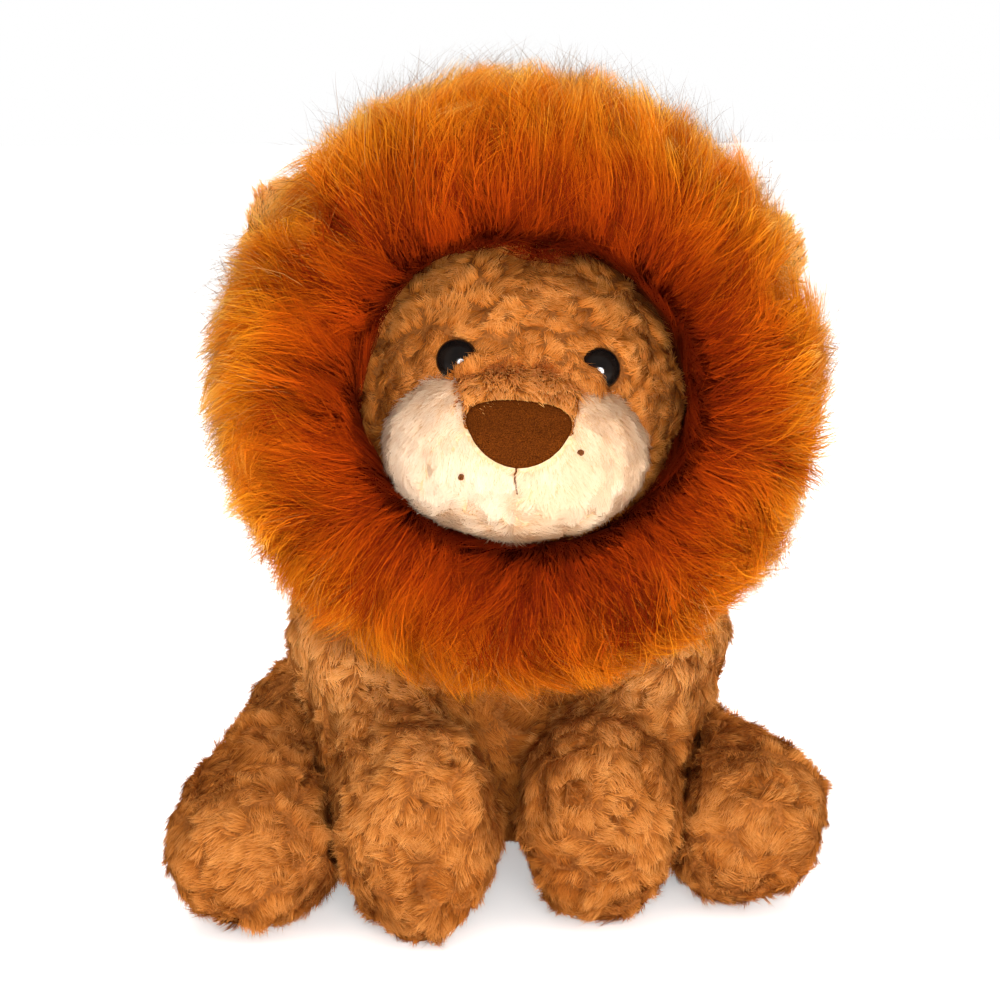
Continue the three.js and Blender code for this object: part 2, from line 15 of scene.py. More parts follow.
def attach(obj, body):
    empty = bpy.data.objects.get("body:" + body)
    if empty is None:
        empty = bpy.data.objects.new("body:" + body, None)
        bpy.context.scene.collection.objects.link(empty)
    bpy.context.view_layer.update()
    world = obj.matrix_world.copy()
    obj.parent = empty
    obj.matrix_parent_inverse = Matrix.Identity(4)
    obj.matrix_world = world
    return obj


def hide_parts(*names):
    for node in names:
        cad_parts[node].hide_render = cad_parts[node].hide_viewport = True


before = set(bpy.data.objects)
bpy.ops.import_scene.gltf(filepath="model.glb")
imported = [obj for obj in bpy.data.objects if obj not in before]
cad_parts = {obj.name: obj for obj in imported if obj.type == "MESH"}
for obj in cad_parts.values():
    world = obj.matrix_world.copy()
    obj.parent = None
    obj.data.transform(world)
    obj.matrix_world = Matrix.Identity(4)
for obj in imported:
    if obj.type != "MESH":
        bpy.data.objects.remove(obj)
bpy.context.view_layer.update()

MM = 0.001
SIDES = ("left", "right")
UV_MAP = "OFBake"
TONE_COLUMNS = 96
MOST_FACES = 190_000

# The head's own frame, as the model sets it: about its centre, turned, tipped back and rolled
HEAD_PLACE = np.array(Vector((5.5 * MM, -58.92 * MM, 176 * MM)))
HEAD_AXES = np.array(
    Matrix.Rotation(math.radians(-3.5), 3, "Z")
    @ Matrix.Rotation(math.radians(-5), 3, "X")
    @ Matrix.Rotation(math.radians(3.8), 3, "Y")
)

# The camera looks from 4 degrees to the left and 12 above
CAMERA_AIM = np.array([0, -58.92 * MM, 139 * MM])
CAMERA_DISTANCE = 1.0
CAMERA_LENS, CAMERA_SENSOR = 102.86, 36.0
PICTURE = 1000
AZIMUTH, ELEVATION = math.radians(-4), math.radians(12)
CAMERA_BACK = np.array([
    math.sin(AZIMUTH) * math.cos(ELEVATION),
    -math.cos(AZIMUTH) * math.cos(ELEVATION),
    math.sin(ELEVATION),
])
CAMERA_RIGHT = np.array([math.cos(AZIMUTH), math.sin(AZIMUTH), 0.0])
CAMERA_UP = np.cross(CAMERA_BACK, CAMERA_RIGHT)
CAMERA_PLACE = CAMERA_AIM + CAMERA_BACK * CAMERA_DISTANCE


def to_world(points):
    """Points of the head's frame, in metres, as places in the world."""
    return points @ HEAD_AXES.T + HEAD_PLACE


def in_head(points):
    """World points in the head's own frame, in millimetres."""
    return (np.asarray(points) - HEAD_PLACE) @ HEAD_AXES / MM


# Noise


class Noise:
    """Smooth noise from -1 to 1, the same each run."""

    def __init__(self, seed, cells=32):
        self.cells = cells
        self.lattice = np.random.default_rng(seed).uniform(-1, 1, (cells,) * 3)

    def __call__(self, points, size):
        place = np.asarray(points) / size + 97.0
        low = np.floor(place).astype(int)
        part = place - low
        part = part * part * (3 - 2 * part)
        total = 0
        for corner in np.ndindex(2, 2, 2):
            index = (low + corner) % self.cells
            weight = np.prod(np.where(corner, part, 1 - part), axis=-1)
            total = total + weight * self.lattice[index[..., 0], index[..., 1], index[..., 2]]
        return total


def noise_vectors(points, size, seed):
    """A noise for each axis."""
    return np.stack([Noise(seed + i)(points, size) for i in range(3)], axis=-1)


def unit(vectors):
    """The same ways, at length one."""
    return vectors / (np.linalg.norm(vectors, axis=-1, keepdims=True) + 1e-12)


def flattened(vectors, normals):
    """The part of each vector that lies in the surface."""
    return vectors - normals * np.sum(vectors * normals, axis=-1, keepdims=True)


def bell(distance, width):
    """1 at no distance, and near 0 beyond twice the width."""
    return np.exp(-((distance / width) ** 2))


def creases(points):
    """From 0 to 1: short wandering lines along which the pile parts, and small pits in it."""
    line = Noise(71)(points, 19 * MM) + 0.35 * Noise(72)(points, 8 * MM)
    where = np.clip(Noise(73)(points, 26 * MM) * 3 + 0.9, 0, 1)
    pits = np.clip(Noise(74)(points, 5.5 * MM) * 3.3 - 1.3, 0, 1)
    return np.maximum(bell(line, 0.11) * where, pits)


# Materials


def srgb(red, green, blue):
    """A colour as read off a picture, 0 to 255, as the linear values that a shader takes."""
    channels = np.array([red, green, blue]) / 255
    linear = np.where(channels <= 0.04045, channels / 12.92, ((channels + 0.055) / 1.055) ** 2.4)
    return (*linear, 1.0)


class Nodes:
    """The nodes of a material or of the world."""

    def __init__(self, owner, output):
        owner.use_nodes = True
        self.tree = owner.node_tree
        self.output = self.tree.nodes[output]

    def feed(self, socket, value):
        if isinstance(value, bpy.types.NodeSocket):
            self.tree.links.new(value, socket)
        else:
            socket.default_value = value

    def node(self, kind, settings=None, **inputs):
        """A new node. Each input is a constant or another node's output."""
        node = self.tree.nodes.new(kind)
        for key, value in (settings or {}).items():
            setattr(node, key, value)
        for socket, value in inputs.items():
            self.feed(node.inputs[socket.replace("_", " ")], value)
        return node

    def fed(self, kind, *values, **settings):
        """The output of a new node whose inputs are fed in their order."""
        node = self.node(kind, settings)
        for socket, value in zip(node.inputs, values):
            self.feed(socket, value)
        return node.outputs[0]

    def math(self, operation, first, second):
        return self.fed("ShaderNodeMath", first, second, operation=operation)

    def show(self, shader):
        self.feed(self.output.inputs["Surface"], shader)


class Shader(Nodes):
    """A material and its nodes."""

    def __init__(self, name, **inputs):
        self.material = bpy.data.materials.new(name)
        super().__init__(self.material, "Material Output")
        self.surface = self.tree.nodes["Principled BSDF"]
        for socket, value in inputs.items():
            self.surface.inputs[socket.replace("_", " ")].default_value = value

    def ramp(self, factor, *steps):
        """A colour that changes with a factor, by (place, colour) steps."""
        node = self.node("ShaderNodeValToRGB", Fac=factor)
        elements = node.color_ramp.elements
        while len(elements) < len(steps):
            elements.new(0.5)
        for element, (place, colour) in zip(elements, steps):
            element.position = place
            element.color = colour
        return node.outputs["Color"]

    def mix(self, factor, first, second):
        node = self.node("ShaderNodeMix", {"data_type": "RGBA"})
        for index, value in ((0, factor), (6, first), (7, second)):
            self.feed(node.inputs[index], value)
        return node.outputs[2]

    def place(self):
        return self.node("ShaderNodeTexCoord").outputs["Object"]

    def noise(self, size, detail=3.0, roughness=0.55):
        """Noise with features of about a size, in metres."""
        settings = {"Scale": 1 / size, "Detail": detail, "Roughness": roughness}
        return self.node("ShaderNodeTexNoise", Vector=self.place(), **settings).outputs["Fac"]

    def strand_place(self):
        """(tone, height along the pile) of a point on a strand."""
        uv = self.node("ShaderNodeUVMap", {"uv_map": UV_MAP}).outputs["UV"]
        parts = self.node("ShaderNodeSeparateXYZ", Vector=uv)
        return parts.outputs["X"], parts.outputs["Y"]

    def bump(self, height, strength, distance):
        """Fine relief, over a distance in metres."""
        node = self.node("ShaderNodeBump", Height=height, Strength=strength, Distance=distance)
        self.feed(self.surface.inputs["Normal"], node.outputs["Normal"])

    def colour(self, value):
        self.feed(self.surface.inputs["Base Color"], value)

    def translucent(self, colour, share):
        """Lets a share of the light through, as thin fibres do."""
        through = self.node("ShaderNodeBsdfTranslucent", Color=colour).outputs[0]
        self.show(self.fed("ShaderNodeMixShader", share, self.surface.outputs[0], through))


def pile_material(name, dark, light, share=0.2):
    """Strands whose colour goes from root to tip, each strand by its own tone."""
    shader = Shader(name, Roughness=0.9, Specular_IOR_Level=0.0)
    tone, height = shader.strand_place()
    colour = shader.mix(tone, shader.ramp(height, *dark), shader.ramp(height, *light))
    shader.colour(colour)
    shader.translucent(colour, share)
    return shader.material


def cloth_material(name, dark, light):
    """Knitted ground cloth, seen between the strands."""
    shader = Shader(name, Roughness=0.95, Specular_IOR_Level=0.0)
    fine = shader.noise(0.9 * MM, detail=2.0)
    blend = shader.math("MULTIPLY", shader.noise(9 * MM), fine)
    shader.colour(shader.ramp(blend, (0.12, srgb(*dark)), (0.42, srgb(*light))))
    shader.bump(fine, 0.6, 0.6 * MM)
    return shader.material


def stops(*rows):
    """A ramp's stops, from rows of (place, red, green, blue)."""
    return tuple((place, srgb(*colour)) for place, *colour in rows)


# Pile colours from root to tip, for the darkest and the lightest strands: darker towards the roots as painted
# shade in the depth of the pile
CARAMEL_DARK = stops((0.0, 98, 44, 12), (0.3, 142, 76, 26), (0.7, 184, 108, 42), (1.0, 200, 126, 58))
CARAMEL_LIGHT = stops((0.0, 142, 76, 26), (0.3, 198, 124, 54), (0.7, 226, 158, 84), (1.0, 242, 188, 120))
# The face's pile is redder in its dark tones than the body's: painted reddish bounce light from the mane, over
# its own orange-brown
FACE_DARK = stops((0.0, 104, 42, 10), (0.3, 150, 74, 20), (0.7, 190, 104, 32), (1.0, 206, 122, 46))
FACE_LIGHT = stops((0.0, 146, 72, 20), (0.3, 202, 118, 42), (0.7, 232, 156, 76), (1.0, 246, 188, 116))
# Golden, for the ears: partly their own colour, partly painted light that lifts the mane's shade off them
GOLDEN_DARK = stops((0.0, 206, 118, 40), (0.5, 230, 152, 66), (1.0, 240, 170, 82))
GOLDEN_LIGHT = stops((0.0, 236, 154, 66), (0.5, 254, 196, 104), (1.0, 255, 218, 142))
CREAM_DARK = stops((0.0, 214, 164, 108), (0.4, 234, 202, 164), (1.0, 243, 220, 188))
CREAM_LIGHT = stops((0.0, 236, 204, 158), (0.4, 248, 228, 202), (1.0, 253, 240, 222))
# The mane's colours go by how far out a point is: dark rust near the roots as painted shade in the ring's
# depth, and golden near the rim, partly painted light shining through the tips
MANE_DARK = stops(
    (0.0, 84, 22, 4), (0.08, 112, 30, 6), (0.27, 118, 32, 8),
    (0.55, 144, 46, 8), (0.8, 210, 100, 14), (0.95, 244, 160, 44),
)
MANE_LIGHT = stops(
    (0.0, 116, 34, 6), (0.08, 176, 60, 8), (0.27, 194, 76, 10),
    (0.55, 226, 112, 16), (0.8, 255, 170, 36), (0.95, 255, 212, 104),
)
WISP_DARK = stops((0.0, 120, 40, 4), (0.8, 190, 100, 30), (1.0, 116, 90, 66))
WISP_LIGHT = stops((0.0, 180, 80, 10), (0.8, 236, 170, 90), (1.0, 160, 126, 92))

caramel_pile = pile_material("caramel pile", CARAMEL_DARK, CARAMEL_LIGHT)
face_pile = pile_material("face pile", FACE_DARK, FACE_LIGHT)
golden_pile = pile_material("golden pile", GOLDEN_DARK, GOLDEN_LIGHT, share=0.3)
cream_pile = pile_material("cream pile", CREAM_DARK, CREAM_LIGHT, share=0.3)
mane_pile = pile_material("mane pile", MANE_DARK, MANE_LIGHT, share=0.35)
wisp_pile = pile_material("mane wisps", WISP_DARK, WISP_LIGHT, share=0.3)
caramel_cloth = cloth_material("caramel cloth", (104, 56, 22), (158, 94, 42))
cream_cloth = cloth_material("cream cloth", (214, 172, 122), (238, 208, 166))
mane_cloth = cloth_material("mane cloth", (112, 30, 0), (170, 62, 2))
# The band cloth is near black-brown as painted shade, for the dark gap round the face
band_cloth = cloth_material("band cloth", (52, 16, 4), (88, 28, 6))


# Forms


def closed_copy(node):
    """A CAD node's mesh with its shared vertices joined."""
    mesh = bmesh.new()
    mesh.from_mesh(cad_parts[node].data)
    bmesh.ops.remove_doubles(mesh, verts=mesh.verts, dist=0.002 * MM)
    bmesh.ops.recalc_face_normals(mesh, faces=mesh.faces)
    mesh.normal_update()
    return mesh


def largest_part(mesh):
    """Removes all but the largest piece of a bmesh."""
    left, parts = set(mesh.verts), []
    while left:
        part = edge = {left.pop()}
        while edge:
            edge = {link.other_vert(vertex) for vertex in edge for link in vertex.link_edges} & left
            left -= edge
            part = part | edge
        parts.append(part)
    largest = max(parts, key=len)
    bmesh.ops.delete(mesh, geom=[vertex for vertex in mesh.verts if vertex not in largest], context="VERTS")


def new_object(name, mesh, material):
    """A smooth-shaded piece in the scene."""
    piece = bpy.data.objects.new(name, mesh)
    bpy.context.scene.collection.objects.link(piece)
    mesh.materials.clear()
    mesh.materials.append(material)
    mesh.polygons.foreach_set("use_smooth", np.ones(len(mesh.polygons), bool))
    return piece


def skin(name, nodes, material, voxel=2.0 * MM, grow=3.2 * MM, soften=6):
    """One smooth closed form over a cover and the filling inside it."""
    joined = bmesh.new()
    for place, node in enumerate(nodes):
        part = closed_copy(node)
        if place:
            for vertex in part.verts:
                vertex.co += vertex.normal * grow
        held = bpy.data.meshes.new("held")
        part.to_mesh(held)
        joined.from_mesh(held)
    mesh = bpy.data.meshes.new(name)
    joined.to_mesh(mesh)
    piece = new_object(name, mesh, material)
    remesh = piece.modifiers.new("remesh", "REMESH")
    remesh.mode = "VOXEL"
    remesh.voxel_size = voxel
    smooth = piece.modifiers.new("smooth", "SMOOTH")
    smooth.iterations = soften
    graph = bpy.context.evaluated_depsgraph_get()
    made = bpy.data.meshes.new_from_object(piece.evaluated_get(graph))
    piece.modifiers.clear()
    kept = bmesh.new()
    kept.from_mesh(made)
    largest_part(kept)
    kept.to_mesh(made)
    piece.data = made
    return piece


def triples(rows, field, kind=np.float32):
    """The three values of a field of every row."""
    flat = np.empty(len(rows) * 3, kind)
    rows.foreach_get(field, flat)
    return flat.reshape(-1, 3)


def coordinates(mesh):
    return triples(mesh.vertices, "co").astype(float)


def normals_of(mesh):
    return triples(mesh.vertex_normals, "vector").astype(float)


def fill(rows, field, values, kind=np.float32):
    """Sets a field of every row."""
    rows.foreach_set(field, values.astype(kind).ravel())


def set_coordinates(mesh, co):
    fill(mesh.vertices, "co", co)
    mesh.update()


def lumpy(piece, depth, size, parting=3.2 * MM, draw_in=1.8 * MM):
    """Draws a skin in under its pile, shapes it in soft lumps, and sinks it along its creases."""
    mesh = piece.data
    co, normal = coordinates(mesh), normals_of(mesh)
    noise = Noise(11)
    height = depth * (noise(co, size) + 0.6 * noise(co + 0.3, size * 0.5)) - parting * creases(co)
    height -= draw_in * np.clip(co[:, 2] / (16 * MM), 0, 1)
    co = co + normal * height[:, None]
    co[:, 2] = np.maximum(co[:, 2], 0.0)
    set_coordinates(mesh, co)
    return piece


def raised(piece, height):
    """Moves a skin out along its normals by a height, or by a function of its places."""
    mesh = piece.data
    co = coordinates(mesh)
    if callable(height):
        height = height(co)[:, None]
    set_coordinates(mesh, co + normals_of(mesh) * height)
    return piece


def sunk(piece, place, reach, depth):
    """Sinks a skin round a place."""
    return raised(piece, lambda co: -depth * bell(np.linalg.norm(co - place, axis=1), reach))


trees = {}


def tree_of(piece):
    """A skin's search tree, made when it is first asked for."""
    mesh = piece.data
    if piece.name not in trees:
        polygons = [tuple(polygon.vertices) for polygon in mesh.polygons]
        trees[piece.name] = BVHTree.FromPolygons([vertex.co for vertex in mesh.vertices], polygons)
    return trees[piece.name]


def behind(point, near, normal, distance, straight=0.6):
    """Whether a point lies inside a skin: straight behind its nearest face, not beside a sharp edge."""
    return (point - near).dot(normal) < -straight * distance


def kept_off(piece, others, clearance=0.6 * MM, search=30 * MM):
    """Pushes a skin's points out of the skins that it is sewn against."""
    mesh = piece.data
    co = coordinates(mesh)
    for other in others:
        tree = tree_of(other)
        for i, point in enumerate(map(Vector, co)):
            near, normal, _, distance = tree.find_nearest(point, search)
            if near is not None and (distance < clearance or behind(point, near, normal, distance)):
                co[i] = near + normal * clearance
    co[:, 2] = np.maximum(co[:, 2], 0.0)
    set_coordinates(mesh, co)
    return piece


def seen_at(column, row, pieces):
    """Where the camera sees a piece at a pixel of its picture: (point, normal)."""
    across = (column - PICTURE / 2) / PICTURE * CAMERA_SENSOR / CAMERA_LENS
    upward = (PICTURE / 2 - row) / PICTURE * CAMERA_SENSOR / CAMERA_LENS
    way = unit(CAMERA_RIGHT * across + CAMERA_UP * upward - CAMERA_BACK)
    hits = [tree_of(piece).ray_cast(Vector(CAMERA_PLACE), Vector(way)) for piece in pieces]
    point, normal, _, _ = min((hit for hit in hits if hit[0] is not None), key=lambda hit: hit[3])
    return np.array(point), np.array(normal)


# Strands

PILE_RINGS = 4
PILE_ROOT, ABOVE_GROUND = 0.3 * MM, 0.2 * MM
PILE_TONE = 0.62


def scattered(piece, count, rng):
    """Random places over a skin: (points, normals)."""
    mesh = piece.data
    mesh.calc_loop_triangles()
    corners = triples(mesh.loop_triangles, "vertices", np.int32)
    co, normal = coordinates(mesh), normals_of(mesh)
    a, b, c = (co[corners[:, i]] for i in range(3))
    area = np.linalg.norm(np.cross(b - a, c - a), axis=1)
    chosen = rng.choice(len(corners), count, p=area / area.sum())
    first = np.sqrt(rng.random(count))
    second = rng.random(count)
    weights = np.stack([1 - first, first * (1 - second), first * second], axis=1)
    points = np.einsum("ij,ijk->ik", weights, co[corners[chosen]])
    normals = unit(np.einsum("ij,ijk->ik", weights, normal[corners[chosen]]))
    return points, normals


def paired(rows):
    """Each row of a strand twice, for the ribbon's two sides, but the tip's once."""
    return np.concatenate([np.repeat(rows[:, :-1], 2, axis=1), rows[:, -1:]], axis=1)


def ribbon_mesh(name, paths, facing, shade, width, tone, height, material):
    """Ribbons along paths (strand, ring, xyz) that taper to a point.

    shade holds the normals that they are lit by. Their map is (tone, height), a column for each tone.
    """
    count, rings, _ = paths.shape
    along = np.gradient(paths, axis=1)
    side = unit(np.cross(along, facing[:, None, :]))
    taper = np.cos(np.linspace(0, 1, rings) * math.pi / 2) ** 0.6
    half = side * (width[:, None] * taper[None, :] * 0.5)[..., None]
    pairs = np.stack([paths - half, paths + half], axis=2)[:, :-1].reshape(count, -1, 3)
    points = np.concatenate([pairs, paths[:, -1:]], axis=1)
    each = points.shape[1]
    quads = np.arange(rings - 2)[:, None] * 2 + [0, 1, 3, 2]
    pattern = np.concatenate([quads.ravel(), np.arange(each - 3, each)])
    corners = (np.arange(count)[:, None] * each + pattern).ravel()
    totals = np.tile([4] * (rings - 2) + [3], count)
    starts = np.cumsum(totals) - totals
    column = (np.floor(tone * (TONE_COLUMNS - 1)) + 0.5) / TONE_COLUMNS
    across = np.array([-0.3, 0.3] * (rings - 1) + [0.0]) / TONE_COLUMNS
    uv = np.stack([column[:, None] + across, np.clip(paired(height), 0.004, 0.996)], axis=-1)
    uv = uv.reshape(-1, 2)[corners]
    mesh = bpy.data.meshes.new(name)
    mesh.vertices.add(count * each)
    mesh.loops.add(len(corners))
    mesh.polygons.add(len(totals))
    fill(mesh.vertices, "co", points)
    fill(mesh.loops, "vertex_index", corners, np.int32)
    fill(mesh.polygons, "loop_start", starts, np.int32)
    fill(mesh.polygons, "loop_total", totals, np.int32)
    fill(mesh.uv_layers.new(name=UV_MAP).data, "uv", uv)
    mesh.update(calc_edges=True)
    mesh.validate()
    normals = mesh.attributes.new("custom_normal", "FLOAT_VECTOR", "POINT")
    fill(normals.data, "vector", unit(paired(shade)))
    return new_object(name, mesh, material)


def strand_pieces(name, paths, facing, shade, width, tone, height, material):
    """Ribbon meshes, none with more than MOST_FACES triangles."""
    most = MOST_FACES // (2 * paths.shape[1] - 3)
    rows = (paths, facing, shade, width, tone, height)
    return [
        ribbon_mesh(f"{name}_{number}", *(row[start : start + most] for row in rows), material)
        for number, start in enumerate(range(0, len(paths), most), 1)
    ]


def hidden(points, normals, others, reach=1.2 * MM, search=25 * MM):
    """Which points of a skin lie inside one of the other skins, or have it over them within reach."""
    found = np.zeros(len(points), bool)
    for other in others:
        tree = tree_of(other)
        for i in np.flatnonzero(~found):
            point = Vector(points[i])
            near, normal, _, distance = tree.find_nearest(point, search)
            if near is not None:
                over = (near - point).dot(Vector(normals[i])) > 0.2 * distance
                found[i] = (over and distance < reach) or behind(point, near, normal, distance)
    return found


def nearest(points, seeds):
    """The number of the seed nearest to each point."""
    tree = KDTree(len(seeds))
    for i, seed in enumerate(seeds):
        tree.insert(Vector(seed), i)
    tree.balance()
    return np.array([tree.find(Vector(point))[1] for point in points])


def one_way(way):
    """A comb that lays all the pile one way."""
    return lambda points: np.broadcast_to(way, points.shape)


def away_from(middle, upright=1.0):
    """A comb that lays the pile away from a place of the head's frame."""
    return lambda points: (in_head(points) - middle) @ HEAD_AXES.T * [1, 1, upright]


# Down and a little forwards on the body, and round the nose, over it and up on the head's pieces
falling = one_way([0.0, -0.25, -1.0])
from_brow = away_from([0, 0, -4])
from_nose = away_from([0, -40, 2], 1.15)
to_nose = one_way(HEAD_AXES @ [0, -0.7, -0.8])
to_ear_tips = one_way(HEAD_AXES @ [0, 0, 1])


def painted_light_high(points):
    """The legs' pile is lighter towards the shoulders as painted light, under the mane's shade."""
    return 1.4 * np.clip((points[:, 2] - 60 * MM) / (45 * MM), 0, 1) - 0.28


def painted_shade_low(points):
    """Painted shade: the chest's pile is darker low in front, where the front legs close round it."""
    low = np.clip((95 * MM - points[:, 2]) / (35 * MM), 0, 1)
    return -0.8 * low * (points[:, 1] < 0)


def pile(
    piece, name, material, seed, density, length, width, clump=6.0 * MM, lift=0.3, comb=falling, hold=0.5,
    others=(), spare=None, tone_shift=0.0, tone_at=None, spread=1.0, part=1.0, gather=0.4,
):
    """Short clumped pile over a skin.

    density is strands per square millimetre, clump a tuft's size, gather how far its strands lean
    together and how much darker, as painted shade, they are at a tuft's edge, comb the way they lie,
    hold how well they keep to it, and part how much they part along the creases and are painted darker
    there as shade. None grow where others cover the skin or spare says so. spread varies the tone.
    """
    rng = np.random.default_rng(seed)
    area = sum(polygon.area for polygon in piece.data.polygons) / MM**2

    # The roots, and the tuft that each belongs to
    roots, normals = scattered(piece, int(area * density), rng)
    keep = (roots[:, 2] > 1.5 * MM) | (normals[:, 2] > -0.5)
    if spare is not None:
        keep &= ~spare(roots)
    roots, normals = roots[keep], normals[keep]
    keep = ~hidden(roots, normals, others)
    roots, normals = roots[keep], normals[keep]
    count = len(roots)
    seeds, seed_normals = scattered(piece, max(int(area / (clump / MM) ** 2), 4), rng)
    owner = nearest(roots, seeds)
    away = flattened(roots - seeds[owner], normals) / clump
    edge = np.linalg.norm(roots - seeds[owner], axis=1) / clump

    # The way they lie: combed, wandering, one way in each tuft
    wander = noise_vectors(seeds, 16 * MM, seed + 20) + 0.5 * noise_vectors(seeds, 6 * MM, seed + 25)
    lie = hold * unit(comb(seeds)) + wander + rng.normal(0, 0.3, seeds.shape)
    lie = unit(flattened(lie, seed_normals))[owner]
    way = unit(flattened(lie + rng.normal(0, 0.13, (count, 3)), normals))

    # Their paths: forward, up, in to the tuft's middle, and a little bent
    parting = part * creases(roots)
    tuft_length = rng.uniform(0.8, 1.15, len(seeds))[owner]
    reach = length * tuft_length * rng.uniform(0.7, 1.1, count) * (1 - 0.35 * parting)
    rise = lift * rng.uniform(0.5, 1.5, count) * np.clip(1.35 - 1.7 * gather * edge, 0.5, 1.35)
    share = np.linspace(0, 1, PILE_RINGS)
    bend = rng.normal(0, 0.1, (count, 3))
    paths = (
        (roots - normals * PILE_ROOT)[:, None, :]
        + way[:, None, :] * (reach[:, None] * share**1.1 * 0.9)[..., None]
        + normals[:, None, :] * (reach * rise)[:, None, None] * (share * (1 - 0.4 * share))[:, None]
        - gather * clump * away[:, None, :] * (share**1.6)[:, None]
        + bend[:, None, :] * (reach[:, None] * share**2)[..., None]
    )
    paths[..., 2] = np.maximum(paths[..., 2], ABOVE_GROUND)

    # Their tone, with painted shade that darkens them at the tufts' edges and along the creases and pits, and
    # the normals of rounded tufts that light them
    patches = Noise(seed + 40)(roots, 24 * MM)
    tuft_tone = rng.normal(0, 0.08, len(seeds))[owner]
    varied = 0.16 * patches + tuft_tone - 0.45 * gather * edge + rng.normal(0, 0.1, count)
    tone = PILE_TONE + tone_shift + spread * varied - 0.8 * parting
    if tone_at is not None:
        tone += tone_at(roots)
    rounding = 1.6 * gather * away - 0.25 * way + rng.normal(0, 0.13, seeds.shape)[owner]
    shade = unit(normals + rounding + rng.normal(0, 0.1, (count, 3)))
    shade = unit(shade[:, None, :] + 0.35 * (share - 0.4)[:, None] * way[:, None, :])
    facing = unit(normals + rng.normal(0, 0.25, (count, 3)))
    height = share * (1 - 0.5 * parting)[:, None]
    widths = width * rng.uniform(0.7, 1.3, count)
    return strand_pieces(name, paths, facing, shade, widths, np.clip(tone, 0, 1), height, material)


def dress(piece, body, nodes, hair=()):
    """Declares a skin, and lets its pile ride with it."""
    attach(piece, body)
    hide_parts(*nodes)
    for strands in hair:
        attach(strands, body)


# Camera, light and floor

WHITE = (1, 1, 1, 1)
LAMP_AIM = Vector((0, -40 * MM, 140 * MM))


def placed(data, place, way):
    """A camera or lamp at a place, that looks one way."""
    held = bpy.data.objects.new(data.name, data)
    held.location = place
    held.rotation_mode = "QUATERNION"
    held.rotation_quaternion = way.to_track_quat("-Z", "Y")
    bpy.context.scene.collection.objects.link(held)
    return held


def add_camera():
    data = bpy.data.cameras.new("camera")
    data.lens = CAMERA_LENS
    data.sensor_width = CAMERA_SENSOR
    bpy.context.scene.camera = placed(data, CAMERA_PLACE, Vector(-CAMERA_BACK))


def add_lamp(name, place, size, power):
    """A round soft lamp: its size in metres, its power in watts."""
    data = bpy.data.lights.new(name, "AREA")
    data.shape = "DISK"
    data.size = size
    data.energy = power
    return placed(data, place, LAMP_AIM - Vector(place))


def floor_material():
    """Near white, and lifted to white for the camera away from the lion, where the lamps fall off."""
    shader = Shader("floor", Roughness=0.9, Base_Color=srgb(250, 248, 245))
    away = shader.node("ShaderNodeVectorMath", {"operation": "LENGTH"}, Vector=shader.place()).outputs["Value"]
    limits = {"From_Min": 0.15, "From_Max": 0.6, "To_Min": 0.38, "To_Max": 0.7}
    far = shader.node("ShaderNodeMapRange", {"interpolation_type": "SMOOTHSTEP"}, Value=away, **limits)
    seen = shader.node("ShaderNodeLightPath").outputs["Is Camera Ray"]
    level = shader.math("MULTIPLY", seen, far.outputs["Result"])
    glow = shader.node("ShaderNodeEmission", Color=WHITE, Strength=level).outputs[0]
    shader.show(shader.fed("ShaderNodeAddShader", shader.surface.outputs[0], glow))
    return shader.material


def add_floor(span=3.0):
    corners = [(-span, -span, 0), (span, -span, 0), (span, span, 0), (-span, span, 0)]
    mesh = bpy.data.meshes.new("floor")
    mesh.from_pydata(corners, [], [(0, 1, 2, 3)])
    new_object("floor", mesh, floor_material())


def add_world():
    """Even light all round, and white where the camera or glass looks."""
    world = bpy.data.worlds.new("studio")
    bpy.context.scene.world = world
    nodes = Nodes(world, "World Output")
    light, plain = (
        nodes.node("ShaderNodeBackground", Color=WHITE, Strength=strength).outputs[0] for strength in (0.6, 1.0)
    )
    path = nodes.node("ShaderNodeLightPath").outputs
    seen = nodes.math("MAXIMUM", path["Is Camera Ray"], path["Is Transmission Ray"])
    nodes.show(nodes.fed("ShaderNodeMixShader", seen, light, plain))


add_camera()
add_world()
add_floor()
# Only the key and the glint are seen in the eyes, and the glint lights nothing else
add_lamp("key", (0.0, -1.1, 0.33), 0.5, 7.2)
add_lamp("back", (0.1, 1.0, 0.75), 0.9, 16)
for soft_lamp in (
    add_lamp("top", (-0.12, -0.75, 1.15), 1.6, 10),
    add_lamp("fill", (0.9, -0.85, 0.45), 1.4, 4),
    add_lamp("low", (-0.1, -0.9, 0.06), 0.6, 3.2),
):
    soft_lamp.visible_glossy = False
glint = add_lamp("glint", (0.15, -1.2, 0.2), 0.7, 200)
glint.visible_diffuse = False
bpy.context.scene.view_settings.view_transform = "Standard"


# Body and legs

BODY_PILE = dict(
    material=caramel_pile, density=2.8, length=6.5 * MM, width=0.28 * MM, clump=5.5 * MM,
    gather=0.32, part=0.75, spread=0.85,
)
# The right haunch is leaner than the left one above its paw, and the right shoulder fuller
RIGHT_HAUNCH = np.array([97, -18, 50]) * MM
RIGHT_SOLE = np.array([108, -90, 6]) * MM
RIGHT_SHOULDER = np.array([76, -35, 70]) * MM

